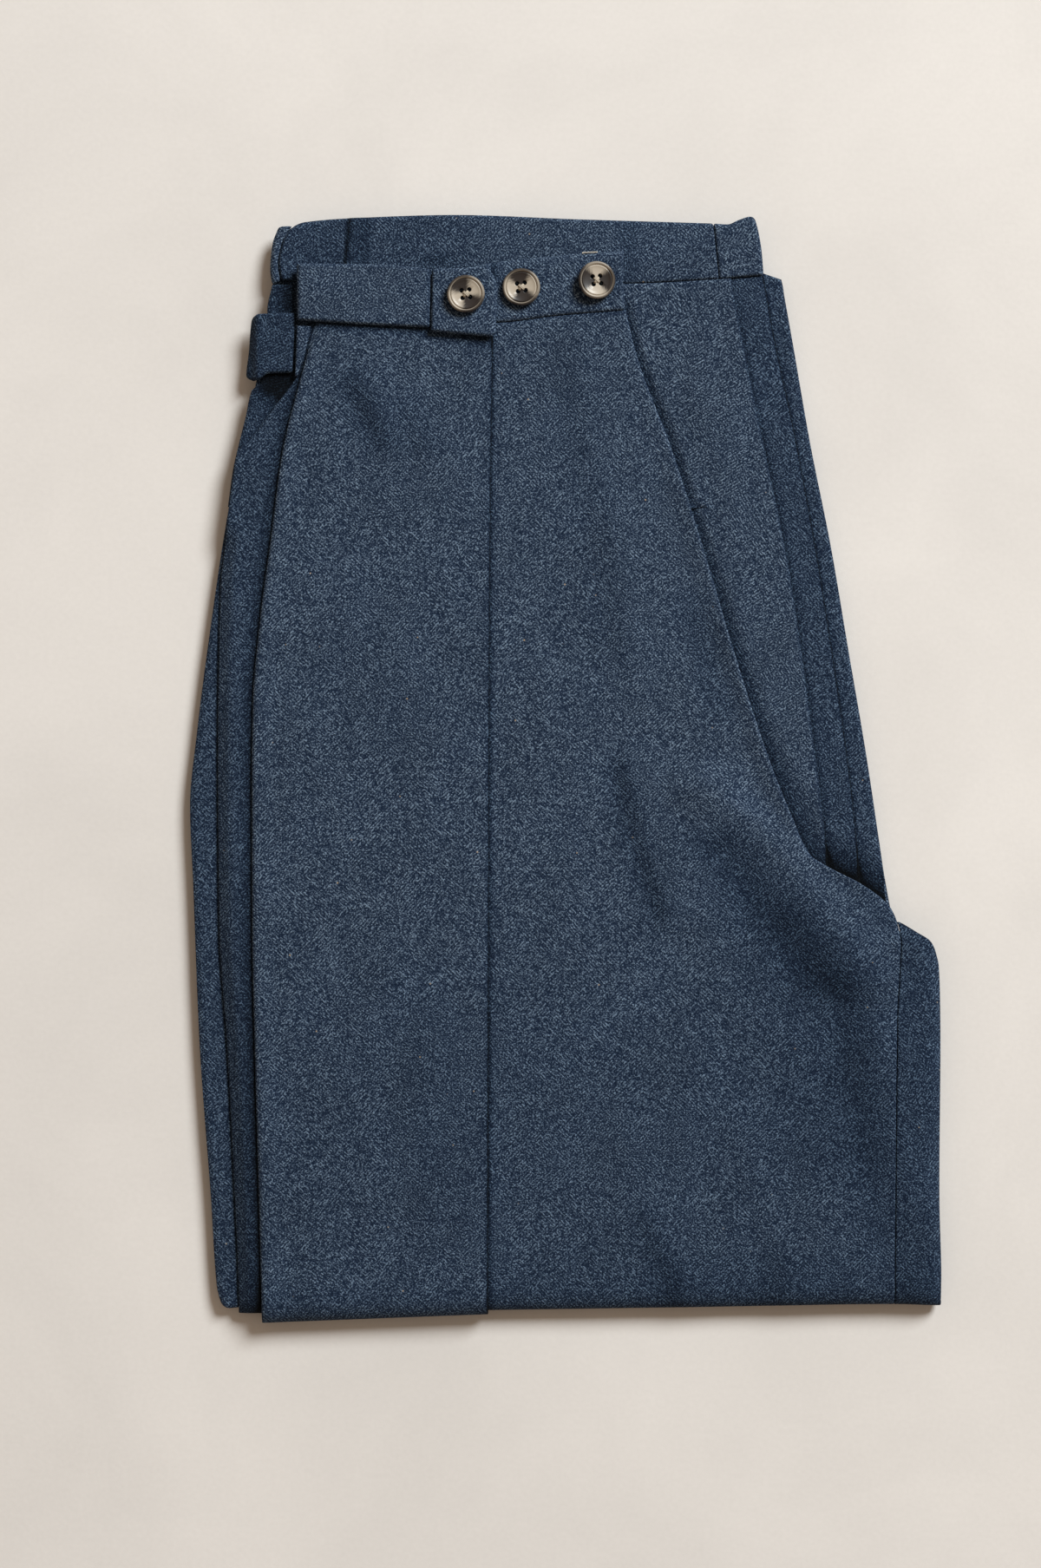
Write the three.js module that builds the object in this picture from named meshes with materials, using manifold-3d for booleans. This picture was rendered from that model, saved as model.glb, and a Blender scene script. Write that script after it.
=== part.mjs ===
// Wide-leg wool trousers with a wrapped, buttoned front, folded leg on leg and once more at the knee.
// Millimetres. X runs across the waist, Y from the knee fold up to the waist, Z up from the surface.
// The origin is the middle of the folded garment, on the surface that it lies on.

import * as THREE from 'three';
import { mergeVertices } from 'three/addons/utils/BufferGeometryUtils.js';
import Module from 'manifold-3d';

const wasm = await Module();
wasm.setup();

// Cloth and how it stacks
const CLOTH = 1.3; // one ply of the wool cloth, with its nap
const BAND = 2.4; // a waistband: two plies and their turned edges
const GAP = 0.3; // between pieces that lie on or beside each other
const PITCH = CLOTH + GAP; // rise of the stack for each ply
const SEAT_TOP = 7.0; // top of the hidden layers under the seat
const THIGH_TOP = SEAT_TOP + 2 * PITCH; // top of the hidden layers from crotch to knee
const FRONT_TOP = THIGH_TOP + PITCH;
const WRAP_TOP = FRONT_TOP + PITCH;
const FRONT_BAND_TOP = THIGH_TOP + GAP + BAND;
const WRAP_BAND_TOP = WRAP_TOP + GAP + BAND;

// Where the two seat panels end under the front panel and the hidden layers rise to their level
const SEAT_END = -88;
const STEP = 2;
const SEAT_CLEARANCE = 0.5; // between the ends of the seat panels and that rise

// How far past an edge under it the front panel starts and ends its way down to the next layer
const OVER_UNDER_BACK = { start: 8, end: 22 };
const OVER_SEAT_BACK = { start: 14, end: 28 };
const OVER_SEAT_END = { start: 3, end: 18 };

// The knee fold: every outer panel turns round it and runs a little way back underneath
const FOLD_DEPTH = 10; // from where a panel starts to turn to its furthest point
const FOLD_TURNS = 6; // facets round the half turn
const RUN_BACK = 30; // flat run underneath, past the turn
const FOLD_RECESS = -216; // hidden layers are cut back underneath from here to the fold

// Rows of a panel are at least this far apart, and its slanted ends fade out over this reach
const ROW_SPACING = 3.5;
const END_REACH = 30;
const END_PASSES = 4; // a row's place and its slant depend on each other and settle in so many passes
const RIM_BULGE = 0.12; // of a ply's rounded rim, past its two faces
const WELD = 1e-4; // points closer than this are one

// Rounded, layered edge of the hidden layers
const EDGE_DEPTH = 5;
const EDGE_RINGS = 8; // facets over the edge, with a groove between two layers at every second one
const EDGE_GROOVE = 0.7;
const NOSE_DEPTH = FOLD_DEPTH - 2; // at the knee fold, inside the panels that turn round it

// Edge of the cloth where it hangs down past the layers under it, below the pocket
const DROOP_WIDTH = 7;
const DROOP = 3;
const DROOP_START = { high: 120, low: 105 };
const STACK_INSIDE = { start: 0.7 * DROOP_WIDTH, end: 2 * DROOP_WIDTH }; // where the full stack starts

// Rounded edge along the inseam
const INSEAM_ROUNDING = 8;
const INSEAM_OVERRUN = 0.4; // so that the rounding ends short of upright
const INSEAM_DROP = 5;

// Buttons: four-hole, 28 line
const BUTTON_RADIUS = 9;
const BUTTON_HEIGHT = 3.2;
const HOLE_RADIUS = 1.0;
const HOLE_OFFSET = 1.8; // of each hole from the middle, along X and Y
const HOLE_SIDES = 10;
const BUTTON_SIDES = 28;
// Half section of a button, as shares of its radius and height: underside, rim, dished face
const BUTTON_PROFILE = [
  { out: 0, up: 0 }, { out: 0.8, up: 0 }, { out: 0.95, up: 0.22 }, { out: 1, up: 0.5 },
  { out: 0.96, up: 0.86 }, { out: 0.88, up: 1 }, { out: 0.79, up: 0.95 }, { out: 0.73, up: 0.72 },
  { out: 0.66, up: 0.66 }, { out: 0, up: 0.66 },
];

// Outline of the hidden layers: their left edge is the outermost fold on the left
const UNDER_LEFT = [
  { y: 261, x: -130 }, { y: 257, x: -136 }, { y: 240, x: -140 }, { y: 219, x: -143.5 },
  { y: 187, x: -149 }, { y: 157, x: -156 }, { y: 119, x: -163.5 }, { y: 69, x: -171 },
  { y: 19, x: -177.5 }, { y: -18, x: -181 }, { y: -56, x: -179.5 }, { y: -131, x: -176.5 },
  { y: -206, x: -171 }, { y: -250, x: -168 }, { y: -260, x: -165 },
];
// and on the right it is the tucked-up lower leg, then the leg under the inseam
const UNDER_RIGHT = [
  { y: 261, x: 88 }, { y: 250, x: 92 }, { y: 238.5, x: 93.5 }, { y: 236, x: 103.5 },
  { y: 227, x: 105.2 }, { y: 203, x: 109.5 }, { y: 157, x: 117.5 }, { y: 107, x: 127.5 },
  { y: 57, x: 136 }, { y: 7, x: 144.5 }, { y: -43, x: 152 }, { y: -64, x: 155.2 },
  { y: -75, x: 158 }, { y: -82, x: 163.5 }, { y: -90, x: 170 }, { y: -105, x: 174 },
  { y: -200, x: 176 }, { y: -250, x: 176.5 }, { y: -256, x: 175 },
];
const UNDER_TOP = [{ x: -140, y: 258 }, { x: -100, y: 263 }, { x: -50, y: 264 }, { x: 90, y: 261 }];
const UNDER_FOLD = [
  { x: -168, y: -260.5 }, { x: -160, y: -259.4 }, { x: -150, y: -258.6 }, { x: -30, y: -257.2 },
  { x: 176, y: -254.6 },
];
// Rows that a panel spans from its top to its bottom, and its columns as shares of its width
const UNDER_GRID = { span: [257, -250], columns: [0, 0.012, 0.03, 0.06, 0.2, 0.4, 0.6, 0.8, 0.94, 1] };
const UNDER_RECESS_ROWS = [FOLD_RECESS + 0.4, FOLD_RECESS - 0.4];

// Right-hand edges of the two back panels, from the waistband down to the crotch
const UNDER_BACK_RIGHT = [
  { y: 237, x: 94.8 }, { y: 207, x: 100.2 }, { y: 164, x: 109.4 }, { y: 98, x: 121.5 },
  { y: 61, x: 127.3 }, { y: 16, x: 134 }, { y: -21, x: 138.5 }, { y: -55, x: 141.5 }, { y: -87, x: 143 },
];
const SEAT_BACK_RIGHT = [
  { y: 235, x: 79.5 }, { y: 209, x: 84.4 }, { y: 161, x: 94 }, { y: 98, x: 107 },
  { y: 61, x: 112.7 }, { y: 16, x: 118.8 }, { y: -21, x: 123.4 }, { y: -46, x: 125.8 },
  { y: -87, x: 127 },
];
const BACK_TOP = [{ x: -137, y: 233.5 }, { x: 27, y: 232.2 }, { x: 73, y: 234.3 }, { x: 95, y: 236.3 }];
const BACK_GRID = { span: [234, SEAT_END + SEAT_CLEARANCE], columns: [0, 0.3, 0.6, 0.75, 0.87, 1] };
const UNDER_BACK_INSET = 8.5; // of the under panel's left edge from the outermost edge over it
const POCKET_FOOT = 139; // lowest point of the slanted pocket mouth

// Front panel: side edge with the slanted pocket mouth, and the crotch and inseam edge
const FRONT_LEFT = [
  { y: 216, x: -128.4 }, { y: 190, x: -128.8 }, { y: 184, x: -132.3 }, { y: 172, x: -141.5 },
  { y: 162, x: -148.6 }, { y: 151, x: -158.3 }, { y: POCKET_FOOT, x: -160.2 }, { y: 121, x: -162.6 },
  { y: 111, x: -163.5 }, { y: 87, x: -166.3 }, { y: 5, x: -167.6 }, { y: -75, x: -167 }, { y: -136, x: -163 },
  { y: -206, x: -159.5 }, { y: -238, x: -158 }, { y: -262, x: -157.3 },
];
const FRONT_RIGHT = [
  { y: 220, x: 28.6 }, { y: 197, x: 34.4 }, { y: 176, x: 42 }, { y: 161, x: 48 }, { y: 98, x: 68.3 },
  { y: 55, x: 81 }, { y: 13, x: 94.5 }, { y: -6, x: 101.5 }, { y: -23, x: 108.5 }, { y: -41, x: 117 },
  { y: -47, x: 126 }, { y: -55, x: 141.5 }, { y: -62, x: 151.5 }, { y: -67, x: 156.3 },
  { y: -75, x: 159.6 }, { y: -84, x: 160.8 }, { y: -100, x: 160 }, { y: -116, x: 159 },
  { y: -206, x: 158 }, { y: -258, x: 157.8 },
];
const FRONT_SEAM = [{ x: -125, y: 215.9 }, { x: -33, y: 213.2 }, { x: -5, y: 216.9 }, { x: 29, y: 219.6 }];
const FRONT_FOLD = [
  { x: -157, y: -262 }, { x: -37, y: -260.4 }, { x: 70, y: -258.8 }, { x: 158, y: -257.5 },
  { x: 180, y: -258.2 },
];
const FRONT_GRID = { span: [216, -250], columns: [0, 0.012, 0.03, 0.25, 0.5, 0.7, 0.8, 0.87, 0.93, 1] };

// Soft ridges in the front panel: the line that each follows, half its width and its rise
const RIDGES = [
  { fromX: 76, fromY: -13, toX: 111, toY: -49, width: 24, rise: 2.4 },
  { fromX: 111, fromY: -49, toX: 146, toY: -100, width: 24, rise: 2.4 },
  { fromX: 31, fromY: -3, toX: 50, toY: -67, width: 26, rise: 1.4 },
  { fromX: 10, fromY: 178, toX: 34, toY: 55, width: 30, rise: 1.2 },
  { fromX: 152, fromY: -124, toX: 164, toY: -206, width: 24, rise: 1.4 },
];

// Back panel where it turns in at the inseam
const INSEAM_RIGHT = [
  { y: -74.5, x: 162 }, { y: -78, x: 168.5 }, { y: -82.6, x: 175 }, { y: -88, x: 178 },
  { y: -94.5, x: 179.4 }, { y: -110, x: 180 }, { y: -206, x: 179.6 }, { y: -244, x: 180.6 },
  { y: -258, x: 180 },
];
const INSEAM_GRID = { span: [-74.5, -248], columns: [0, 0.35, 0.6, 0.75, 0.87, 0.95, 1] };

// Wrap panel: rounded fold on the left, free edge on the right
const WRAP_LEFT = [
  { y: 215, x: -119.8 }, { y: 187, x: -127.7 }, { y: 152, x: -136.3 }, { y: 111, x: -141.8 },
  { y: 72, x: -147 }, { y: 31, x: -150.5 }, { y: -6, x: -151 }, { y: -75, x: -150.8 },
  { y: -136, x: -149.5 }, { y: -212, x: -147.4 }, { y: -266, x: -146 },
];
const WRAP_RIGHT = [{ y: 208, x: -35 }, { y: 194, x: -35.3 }, { y: 78, x: -36.5 }, { y: -262, x: -37.5 }];
const WRAP_SEAM = [{ x: -121, y: 215 }, { x: -97, y: 213.6 }, { x: -66, y: 212.2 }, { x: -36, y: 207.8 }];
const WRAP_FOLD = [{ x: -146, y: -266.5 }, { x: -38, y: -262.4 }];
const WRAP_GRID = { span: [212, -254], columns: [0, 0.03, 0.25, 0.5, 0.75, 1] };

// Facing behind the slanted pocket mouth
const FACING_LEFT = [
  { y: 232.3, x: -141.2 }, { y: 220, x: -143.6 }, { y: 214, x: -143.4 }, { y: 193, x: -145.5 },
  { y: 186, x: -145.8 }, { y: 182, x: -151 }, { y: 169, x: -154 },
  { y: 157, x: -157 }, { y: 144, x: -160 }, { y: 126, x: -162.5 },
];
const FACING_RIGHT = -104.3;
const FACING_TOP = 232.4;
const FACING_END = 125;
const FACING_BOTTOM = FACING_END + 0.8;
const FACING_COLUMNS = [0, 0.3, 0.65, 1];
const SEAT_NOTCH_ROWS = [FACING_END + 0.2, FACING_END - 0.4]; // the seat panel steps in above them

// Waistband pieces: left and right edges down the band, then its top and lower seam across
const BACK_BAND = {
  left: [
    { y: 264, x: -128 }, { y: 259.6, x: -132.5 }, { y: 253, x: -136.3 }, { y: 243, x: -138.3 },
    { y: 235, x: -137 },
  ],
  right: [{ y: 262.5, x: 70.4 }, { y: 235, x: 73.2 }],
  top: [
    { x: -132, y: 260.4 }, { x: -126, y: 262.7 }, { x: -104, y: 264.6 }, { x: -53, y: 266.2 },
    { x: 4, y: 264.2 }, { x: 71, y: 262.1 },
  ],
  bottom: [{ x: -137, y: 234.5 }, { x: 27, y: 233.1 }, { x: 73, y: 235.2 }],
};
const END_BAND = {
  left: [{ y: 262.5, x: 70.8 }, { y: 235, x: 73.6 }],
  right: [{ y: 265, x: 90.6 }, { y: 259, x: 92.3 }, { y: 249, x: 94 }, { y: 237, x: 95 }],
  top: [
    { x: 70.8, y: 262.1 }, { x: 77.7, y: 261.7 }, { x: 83, y: 263.8 }, { x: 88.5, y: 265.4 },
    { x: 91, y: 264.8 },
  ],
  bottom: [{ x: 73.5, y: 235.2 }, { x: 95, y: 237.2 }],
};
const SIDE_BAND = {
  left: [{ y: 261, x: -138 }, { y: 252, x: -141.2 }, { y: 240, x: -142.3 }, { y: 233, x: -141.4 }],
  right: [{ y: 261, x: -133 }, { y: 253, x: -136.7 }, { y: 243, x: -138.7 }, { y: 233, x: -137.5 }],
  top: [{ x: -139, y: 260.4 }, { x: -133, y: 260.6 }],
  bottom: [{ x: -141, y: 232.9 }, { x: -137, y: 234.2 }],
};
const FRONT_BAND = {
  left: [{ y: 240, x: -125 }, { y: 216, x: -125 }],
  right: [{ y: 249, x: 27.9 }, { y: 234, x: 27.4 }, { y: 220, x: 28.4 }],
  top: [
    { x: -125, y: 240 }, { x: -65, y: 238 }, { x: -33, y: 243.2 }, { x: -5, y: 246.2 },
    { x: 28, y: 248.8 },
  ],
  bottom: [{ x: -125, y: 216.6 }, { x: -33, y: 214.5 }, { x: -5, y: 217.6 }, { x: 29, y: 220.3 }],
};
const WRAP_BAND = {
  left: [{ y: 242, x: -129 }, { y: 214, x: -129 }],
  right: [{ y: 239.5, x: -65 }, { y: 211, x: -65.3 }],
  top: [{ x: -129, y: 242 }, { x: -91, y: 241.6 }, { x: -65, y: 239.5 }],
  bottom: [{ x: -129, y: 214.8 }, { x: -97, y: 212.8 }, { x: -65, y: 211.2 }],
};
const TAB = {
  left: [{ y: 239.5, x: -64.4 }, { y: 209, x: -64.9 }],
  right: [{ y: 241.5, x: -37.5 }, { y: 230, x: -33 }, { y: 209, x: -33.8 }, { y: 206.8, x: -35.3 }],
  top: [{ x: -64, y: 239.3 }, { x: -46, y: 240.2 }, { x: -37, y: 241.8 }],
  bottom: [{ x: -65, y: 209.3 }, { x: -36, y: 206.7 }],
};

// Side strap and the strip that it is sewn to
const STRAP = {
  left: [
    { y: 218.3, x: -149.8 }, { y: 214.6, x: -151.3 }, { y: 200, x: -152.6 }, { y: 189, x: -153.8 },
    { y: 186, x: -151.8 },
  ],
  right: [{ y: 218.8, x: -130 }, { y: 190, x: -131.4 }],
  top: [{ x: -150, y: 218.2 }, { x: -130, y: 218.8 }],
  bottom: [{ x: -152, y: 186 }, { x: -148, y: 186.6 }, { x: -143, y: 189.6 }, { x: -131, y: 190 }],
};
const STRAP_BASE = {
  left: [{ y: 212, x: -129.2 }, { y: 188, x: -130.2 }],
  right: [{ y: 212, x: -122.4 }, { y: 200, x: -125.2 }, { y: 188, x: -129 }],
  top: [{ x: -130, y: 212.6 }, { x: -121, y: 212.2 }],
  bottom: [{ x: -131, y: 188.4 }, { x: -127, y: 188.2 }],
};
const STRAP_THICK = 2.2;
const STRAP_BEND_START = -147.5;
const STRAP_BEND_WIDTH = 5;
const STRAP_BEND = 3.5;

// Waistband over the back panels, lower by a little where it ends at the side seam
const BACK_BAND_THICK = THIGH_TOP - SEAT_TOP - GAP;
const SIDE_BAND_STEP = 0.6;

// Widest spacing of a panel's rows
const WIDEST = 30;
const WIDEST_WRAP = 40;
const WIDEST_BACK = 45;

// Buttons: place on the garment, what they lie on and how far they lean
const BUTTONS = [
  { name: 'button_1', x: -48, y: 226.9, seat: WRAP_BAND_TOP, lean: 0 },
  { name: 'button_2', x: -21.5, y: 230.7, seat: FRONT_BAND_TOP, lean: 0 },
  { name: 'button_3', x: 14.4, y: 233.9, seat: FRONT_BAND_TOP, lean: 8 },
];

const WOOL = { color: 0x2f3e55, roughness: 0.92, metalness: 0 };
const WOOL_DARK = { color: 0x26344a, roughness: 0.94, metalness: 0 };
const HORN = { color: 0x75695c, roughness: 0.38, metalness: 0 };

const lerp = THREE.MathUtils.lerp;
const flat = (height) => () => height;

// Smooth curve through a table's rows that never overshoots them
function curve(table, along, column) {
  const rows = [...table].sort((a, b) => a[along] - b[along]);
  const at = rows.map((row) => row[along]);
  const value = rows.map((row) => row[column]);
  const last = rows.length - 1;
  const slope = rows.slice(1).map((_, i) => (value[i + 1] - value[i]) / (at[i + 1] - at[i]));
  const tangent = rows.map((_, i) => {
    if (i === 0) return slope[0];
    if (i === last) return slope[last - 1];
    const [before, after] = [slope[i - 1], slope[i]];
    return before * after <= 0 ? 0 : (2 * before * after) / (before + after);
  });
  return (place) => {
    if (place <= at[0]) return value[0];
    if (place >= at[last]) return value[last];
    const i = at.findIndex((limit, k) => k > 0 && place <= limit) - 1;
    const width = at[i + 1] - at[i];
    const t = (place - at[i]) / width;
    const rise = t * t * (3 - 2 * t);
    const lead = t * (1 - t) * (1 - t) * tangent[i];
    const tail = t * t * (1 - t) * tangent[i + 1];
    return lerp(value[i], value[i + 1], rise) + width * (lead - tail);
  };
}

// 0 below the start, 1 past the end, and a soft rise between
function ease(value, start, end) {
  return THREE.MathUtils.smoothstep(value, start, end);
}

// Rows of a panel from its top down: its edge tables' own rows, the exact ones, and more where they
// are far apart
function stations(tables, top, bottom, widest, exact = []) {
  const fixed = [top, ...exact, bottom];
  const clear = (y) => fixed.every((other) => Math.abs(other - y) > ROW_SPACING);
  const own = tables.flat().map((row) => row.y).filter((y) => y < top && y > bottom && clear(y));
  const sorted = [...own, ...fixed].sort((a, b) => b - a);
  const kept = sorted.filter((y, i) => i === 0 || fixed.includes(y) || sorted[i - 1] - y > ROW_SPACING);
  return kept.flatMap((y, i) => {
    if (i === 0) return [y];
    const parts = Math.ceil((kept[i - 1] - y) / widest);
    return Array.from({ length: parts }, (_, k) => lerp(kept[i - 1], y, (k + 1) / parts));
  });
}

// Point of a panel at share u across one of its rows; the first and last rows follow its top and bottom edges
function place(panel, u, row) {
  const [first, last] = panel.span;
  const reach = Math.min(END_REACH, first - last);
  const atTop = Math.max(1 - (first - row) / reach, 0);
  const atBottom = Math.max(1 - (row - last) / reach, 0);
  let x = lerp(panel.left(row), panel.right(row), u);
  let y = row;
  for (let pass = 0; pass < END_PASSES; pass += 1) {
    y = row + atTop * (panel.top(x) - first) + atBottom * (panel.bottom(x) - last);
    x = lerp(panel.left(y), panel.right(y), u);
  }
  return [x, y];
}

// Rows of a panel's outer face; with a fold it goes on round the knee and back underneath
function panelRows(panel, columns, rowsDown, fold) {
  const rows = rowsDown.map((row) => columns.map((u) => {
    const [x, y] = place(panel, u, row);
    return new THREE.Vector3(x, y, panel.height(x, y));
  }));
  if (fold === undefined) return rows;
  const start = rows[rows.length - 1];
  for (let turn = 1; turn <= FOLD_TURNS; turn += 1) {
    const angle = (Math.PI * turn) / FOLD_TURNS;
    rows.push(start.map((point) => {
      const middle = (point.z + fold) / 2;
      const y = point.y - FOLD_DEPTH * Math.sin(angle);
      return new THREE.Vector3(point.x, y, middle + (point.z - middle) * Math.cos(angle));
    }));
  }
  const turned = rows[rows.length - 1];
  rows.push(turned.map((point) => new THREE.Vector3(point.x, point.y + RUN_BACK, point.z)));
  return rows;
}

// Two triangles for each cell between two rows of point numbers
function bridge(triangles, near, far, flip) {
  for (let i = 0; i + 1 < near.length; i += 1) {
    const [a, b, c, d] = [near[i], near[i + 1], far[i + 1], far[i]];
    triangles.push(...(flip ? [a, b, c, a, c, d] : [a, c, b, a, d, c]));
  }
}

function geometryOf(points, triangles) {
  const geometry = new THREE.BufferGeometry();
  const places = points.flatMap((point) => point.toArray());
  geometry.setAttribute('position', new THREE.Float32BufferAttribute(places, 3));
  geometry.setIndex(triangles);
  return geometry;
}

// Cloth wall under the given outer face, with its rim rounded all the way round
function clothWall(rows, thickness) {
  const [last, end] = [rows.length - 1, rows[0].length - 1];
  const clamp = (value, most) => Math.min(Math.max(value, 0), most);
  const point = (i, j) => rows[clamp(i, last)][clamp(j, end)];
  const inner = rows.map((row, i) => row.map((outer, j) => {
    const along = new THREE.Vector3().subVectors(point(i + 1, j), point(i - 1, j));
    const across = new THREE.Vector3().subVectors(point(i, j + 1), point(i, j - 1));
    return outer.clone().addScaledVector(along.cross(across).normalize(), -thickness);
  }));
  const loop = [];
  for (let j = 0; j < end; j += 1) loop.push([0, j]);
  for (let i = 0; i < last; i += 1) loop.push([i, end]);
  for (let j = end; j > 0; j -= 1) loop.push([last, j]);
  for (let i = last; i > 0; i -= 1) loop.push([i, 0]);
  const rim = loop.map(([i, j]) => {
    const inward = point(i === 0 ? 1 : i === last ? last - 1 : i, j === 0 ? 1 : j === end ? end - 1 : j);
    const outward = new THREE.Vector3().subVectors(rows[i][j], inward).normalize();
    return new THREE.Vector3().addVectors(rows[i][j], inner[i][j]).multiplyScalar(0.5)
      .addScaledVector(outward, RIM_BULGE);
  });
  const size = rows.length * rows[0].length;
  const number = (i, j) => i * rows[0].length + j;
  const triangles = [];
  for (let i = 0; i < last; i += 1) {
    const near = rows[0].map((_, j) => number(i, j));
    const far = rows[0].map((_, j) => number(i + 1, j));
    bridge(triangles, near, far, false);
    bridge(triangles, near.map((k) => k + size), far.map((k) => k + size), true);
  }
  const closed = [...loop, loop[0]];
  const outerLoop = closed.map(([i, j]) => number(i, j));
  const innerLoop = outerLoop.map((k) => k + size);
  const rimLoop = closed.map((_, k) => 2 * size + (k % loop.length));
  bridge(triangles, outerLoop, rimLoop, true);
  bridge(triangles, rimLoop, innerLoop, true);
  return geometryOf([...rows.flat(), ...inner.flat(), ...rim], triangles);
}

const wrapLeft = curve(WRAP_LEFT, 'y', 'x');
const frontLeft = curve(FRONT_LEFT, 'y', 'x');
const frontRight = curve(FRONT_RIGHT, 'y', 'x');
const frontFold = curve(FRONT_FOLD, 'x', 'y');
const underEdge = curve(UNDER_LEFT, 'y', 'x');
const underBackRight = curve(UNDER_BACK_RIGHT, 'y', 'x');
const seatBackRight = curve(SEAT_BACK_RIGHT, 'y', 'x');
const inseamRight = curve(INSEAM_RIGHT, 'y', 'x');

// Height that the soft ridges add: round in section, fading out past their ends, the highest one counts
function ridges(x, y) {
  const heights = RIDGES.map(({ fromX, fromY, toX, toY, width, rise }) => {
    const [runX, runY] = [toX - fromX, toY - fromY];
    const length = Math.hypot(runX, runY);
    const along = ((x - fromX) * runX + (y - fromY) * runY) / length;
    const aside = ((x - fromX) * runY - (y - fromY) * runX) / length;
    const past = Math.max(-along, along - length, 0);
    return rise * (1 - ease(Math.hypot(aside, past), 0, width));
  });
  return Math.max(...heights);
}

// Outer face of the front panel: over the seat panels or the raised hidden layers, down past their edges
function frontHeight(x, y) {
  const seat = 1 - ease(x - underBackRight(y), OVER_UNDER_BACK.start, OVER_UNDER_BACK.end);
  const upperSeat = 1 - ease(x - seatBackRight(y), OVER_SEAT_BACK.start, OVER_SEAT_BACK.end);
  const thigh = 1 - ease(y - SEAT_END, OVER_SEAT_END.start, OVER_SEAT_END.end);
  const support = Math.max(2 * PITCH * thigh, PITCH * (seat + upperSeat));
  const side = 1 - ease(x - frontLeft(y), 0, DROOP_WIDTH);
  const low = 1 - ease(y, DROOP_START.low, DROOP_START.high);
  return SEAT_TOP + support + PITCH + ridges(x, y) - DROOP * side * low;
}

// The inseam panel goes on from the front panel and rounds down over the outer edge
function inseamHeight(x, y) {
  const inside = x - inseamRight(y) + INSEAM_ROUNDING;
  const reach = Math.min(Math.max(inside / (INSEAM_ROUNDING + INSEAM_OVERRUN), 0), 1);
  return frontHeight(x, y) - INSEAM_DROP * (1 - Math.sqrt(1 - reach * reach));
}

// Hidden layers: level under the seat, higher from the crotch to the knee, low along the left
function underHeight(x, y) {
  const thigh = 1 - ease(y, SEAT_END - STEP, SEAT_END);
  const inside = ease(x - frontLeft(y), STACK_INSIDE.start, STACK_INSIDE.end);
  return SEAT_TOP + 2 * PITCH * thigh * inside;
}

// The hidden layers as one rounded solid whose edge shows its layers
function hiddenLayers() {
  const left = underEdge;
  const right = curve(UNDER_RIGHT, 'y', 'x');
  const top = curve(UNDER_TOP, 'x', 'y');
  const fold = curve(UNDER_FOLD, 'x', 'y');
  const inset = {
    left: (y) => left(y) + EDGE_DEPTH,
    right: (y) => right(y) - EDGE_DEPTH,
    top: (x) => top(x) - EDGE_DEPTH,
    bottom: (x) => fold(x) + NOSE_DEPTH,
    ...UNDER_GRID,
  };
  const { columns } = inset;
  const exact = [SEAT_END, SEAT_END - STEP, ...UNDER_RECESS_ROWS];
  const rowsDown = stations([UNDER_LEFT, UNDER_RIGHT], ...inset.span, WIDEST, exact);
  const floor = (y) => (y < FOLD_RECESS ? 2 * PITCH : 0);
  const upper = rowsDown.map((row) => columns.map((u) => {
    const [x, y] = place(inset, u, row);
    return new THREE.Vector3(x, y, underHeight(x, y));
  }));
  const lower = upper.map((row) => row.map((point) => new THREE.Vector3(point.x, point.y, floor(point.y))));
  const [last, end] = [upper.length - 1, columns.length - 1];
  const loop = [];
  for (let j = 0; j < end; j += 1) loop.push([0, j]);
  for (let i = 0; i < last; i += 1) loop.push([i, end]);
  for (let j = end; j > 0; j -= 1) loop.push([last, j]);
  for (let i = last; i > 0; i -= 1) loop.push([i, 0]);
  const rings = [];
  for (let ring = 1; ring < EDGE_RINGS; ring += 1) {
    const angle = (Math.PI * ring) / EDGE_RINGS;
    rings.push(loop.map(([i, j]) => {
      const border = upper[i][j];
      const x = j === 0 ? left(border.y) : j === end ? right(border.y) : border.x;
      const y = i === 0 ? top(x) : i === last ? fold(x) : border.y;
      const base = lower[i][j].z;
      const groove = i < last && ring % 2 === 0 ? EDGE_GROOVE / EDGE_DEPTH : 0;
      const share = Math.sin(angle) - groove;
      const middle = (border.z + base) / 2;
      const z = middle + (border.z - middle) * Math.cos(angle);
      return new THREE.Vector3(lerp(border.x, x, share), lerp(border.y, y, share), z);
    }));
  }
  const size = upper.length * columns.length;
  const number = (i, j) => i * columns.length + j;
  const triangles = [];
  for (let i = 0; i < last; i += 1) {
    const near = columns.map((_, j) => number(i, j));
    const far = columns.map((_, j) => number(i + 1, j));
    bridge(triangles, near, far, false);
    bridge(triangles, near.map((k) => k + size), far.map((k) => k + size), true);
  }
  const closed = [...loop, loop[0]];
  const upperLoop = closed.map(([i, j]) => number(i, j));
  const loops = rings.map((_, r) => closed.map((__, k) => 2 * size + r * loop.length + (k % loop.length)));
  const levels = [upperLoop, ...loops, upperLoop.map((k) => k + size)];
  for (let k = 0; k + 1 < levels.length; k += 1) bridge(triangles, levels[k], levels[k + 1], true);
  return geometryOf([...upper.flat(), ...lower.flat(), ...rings.flat()], triangles);
}

// One ply between four edge curves
function ply({ tables, columns, widest = WIDEST, exact, fold, ...panel }) {
  const rowsDown = stations(tables, ...panel.span, widest, exact);
  return clothWall(panelRows(panel, columns, rowsDown, fold), CLOTH);
}

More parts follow.
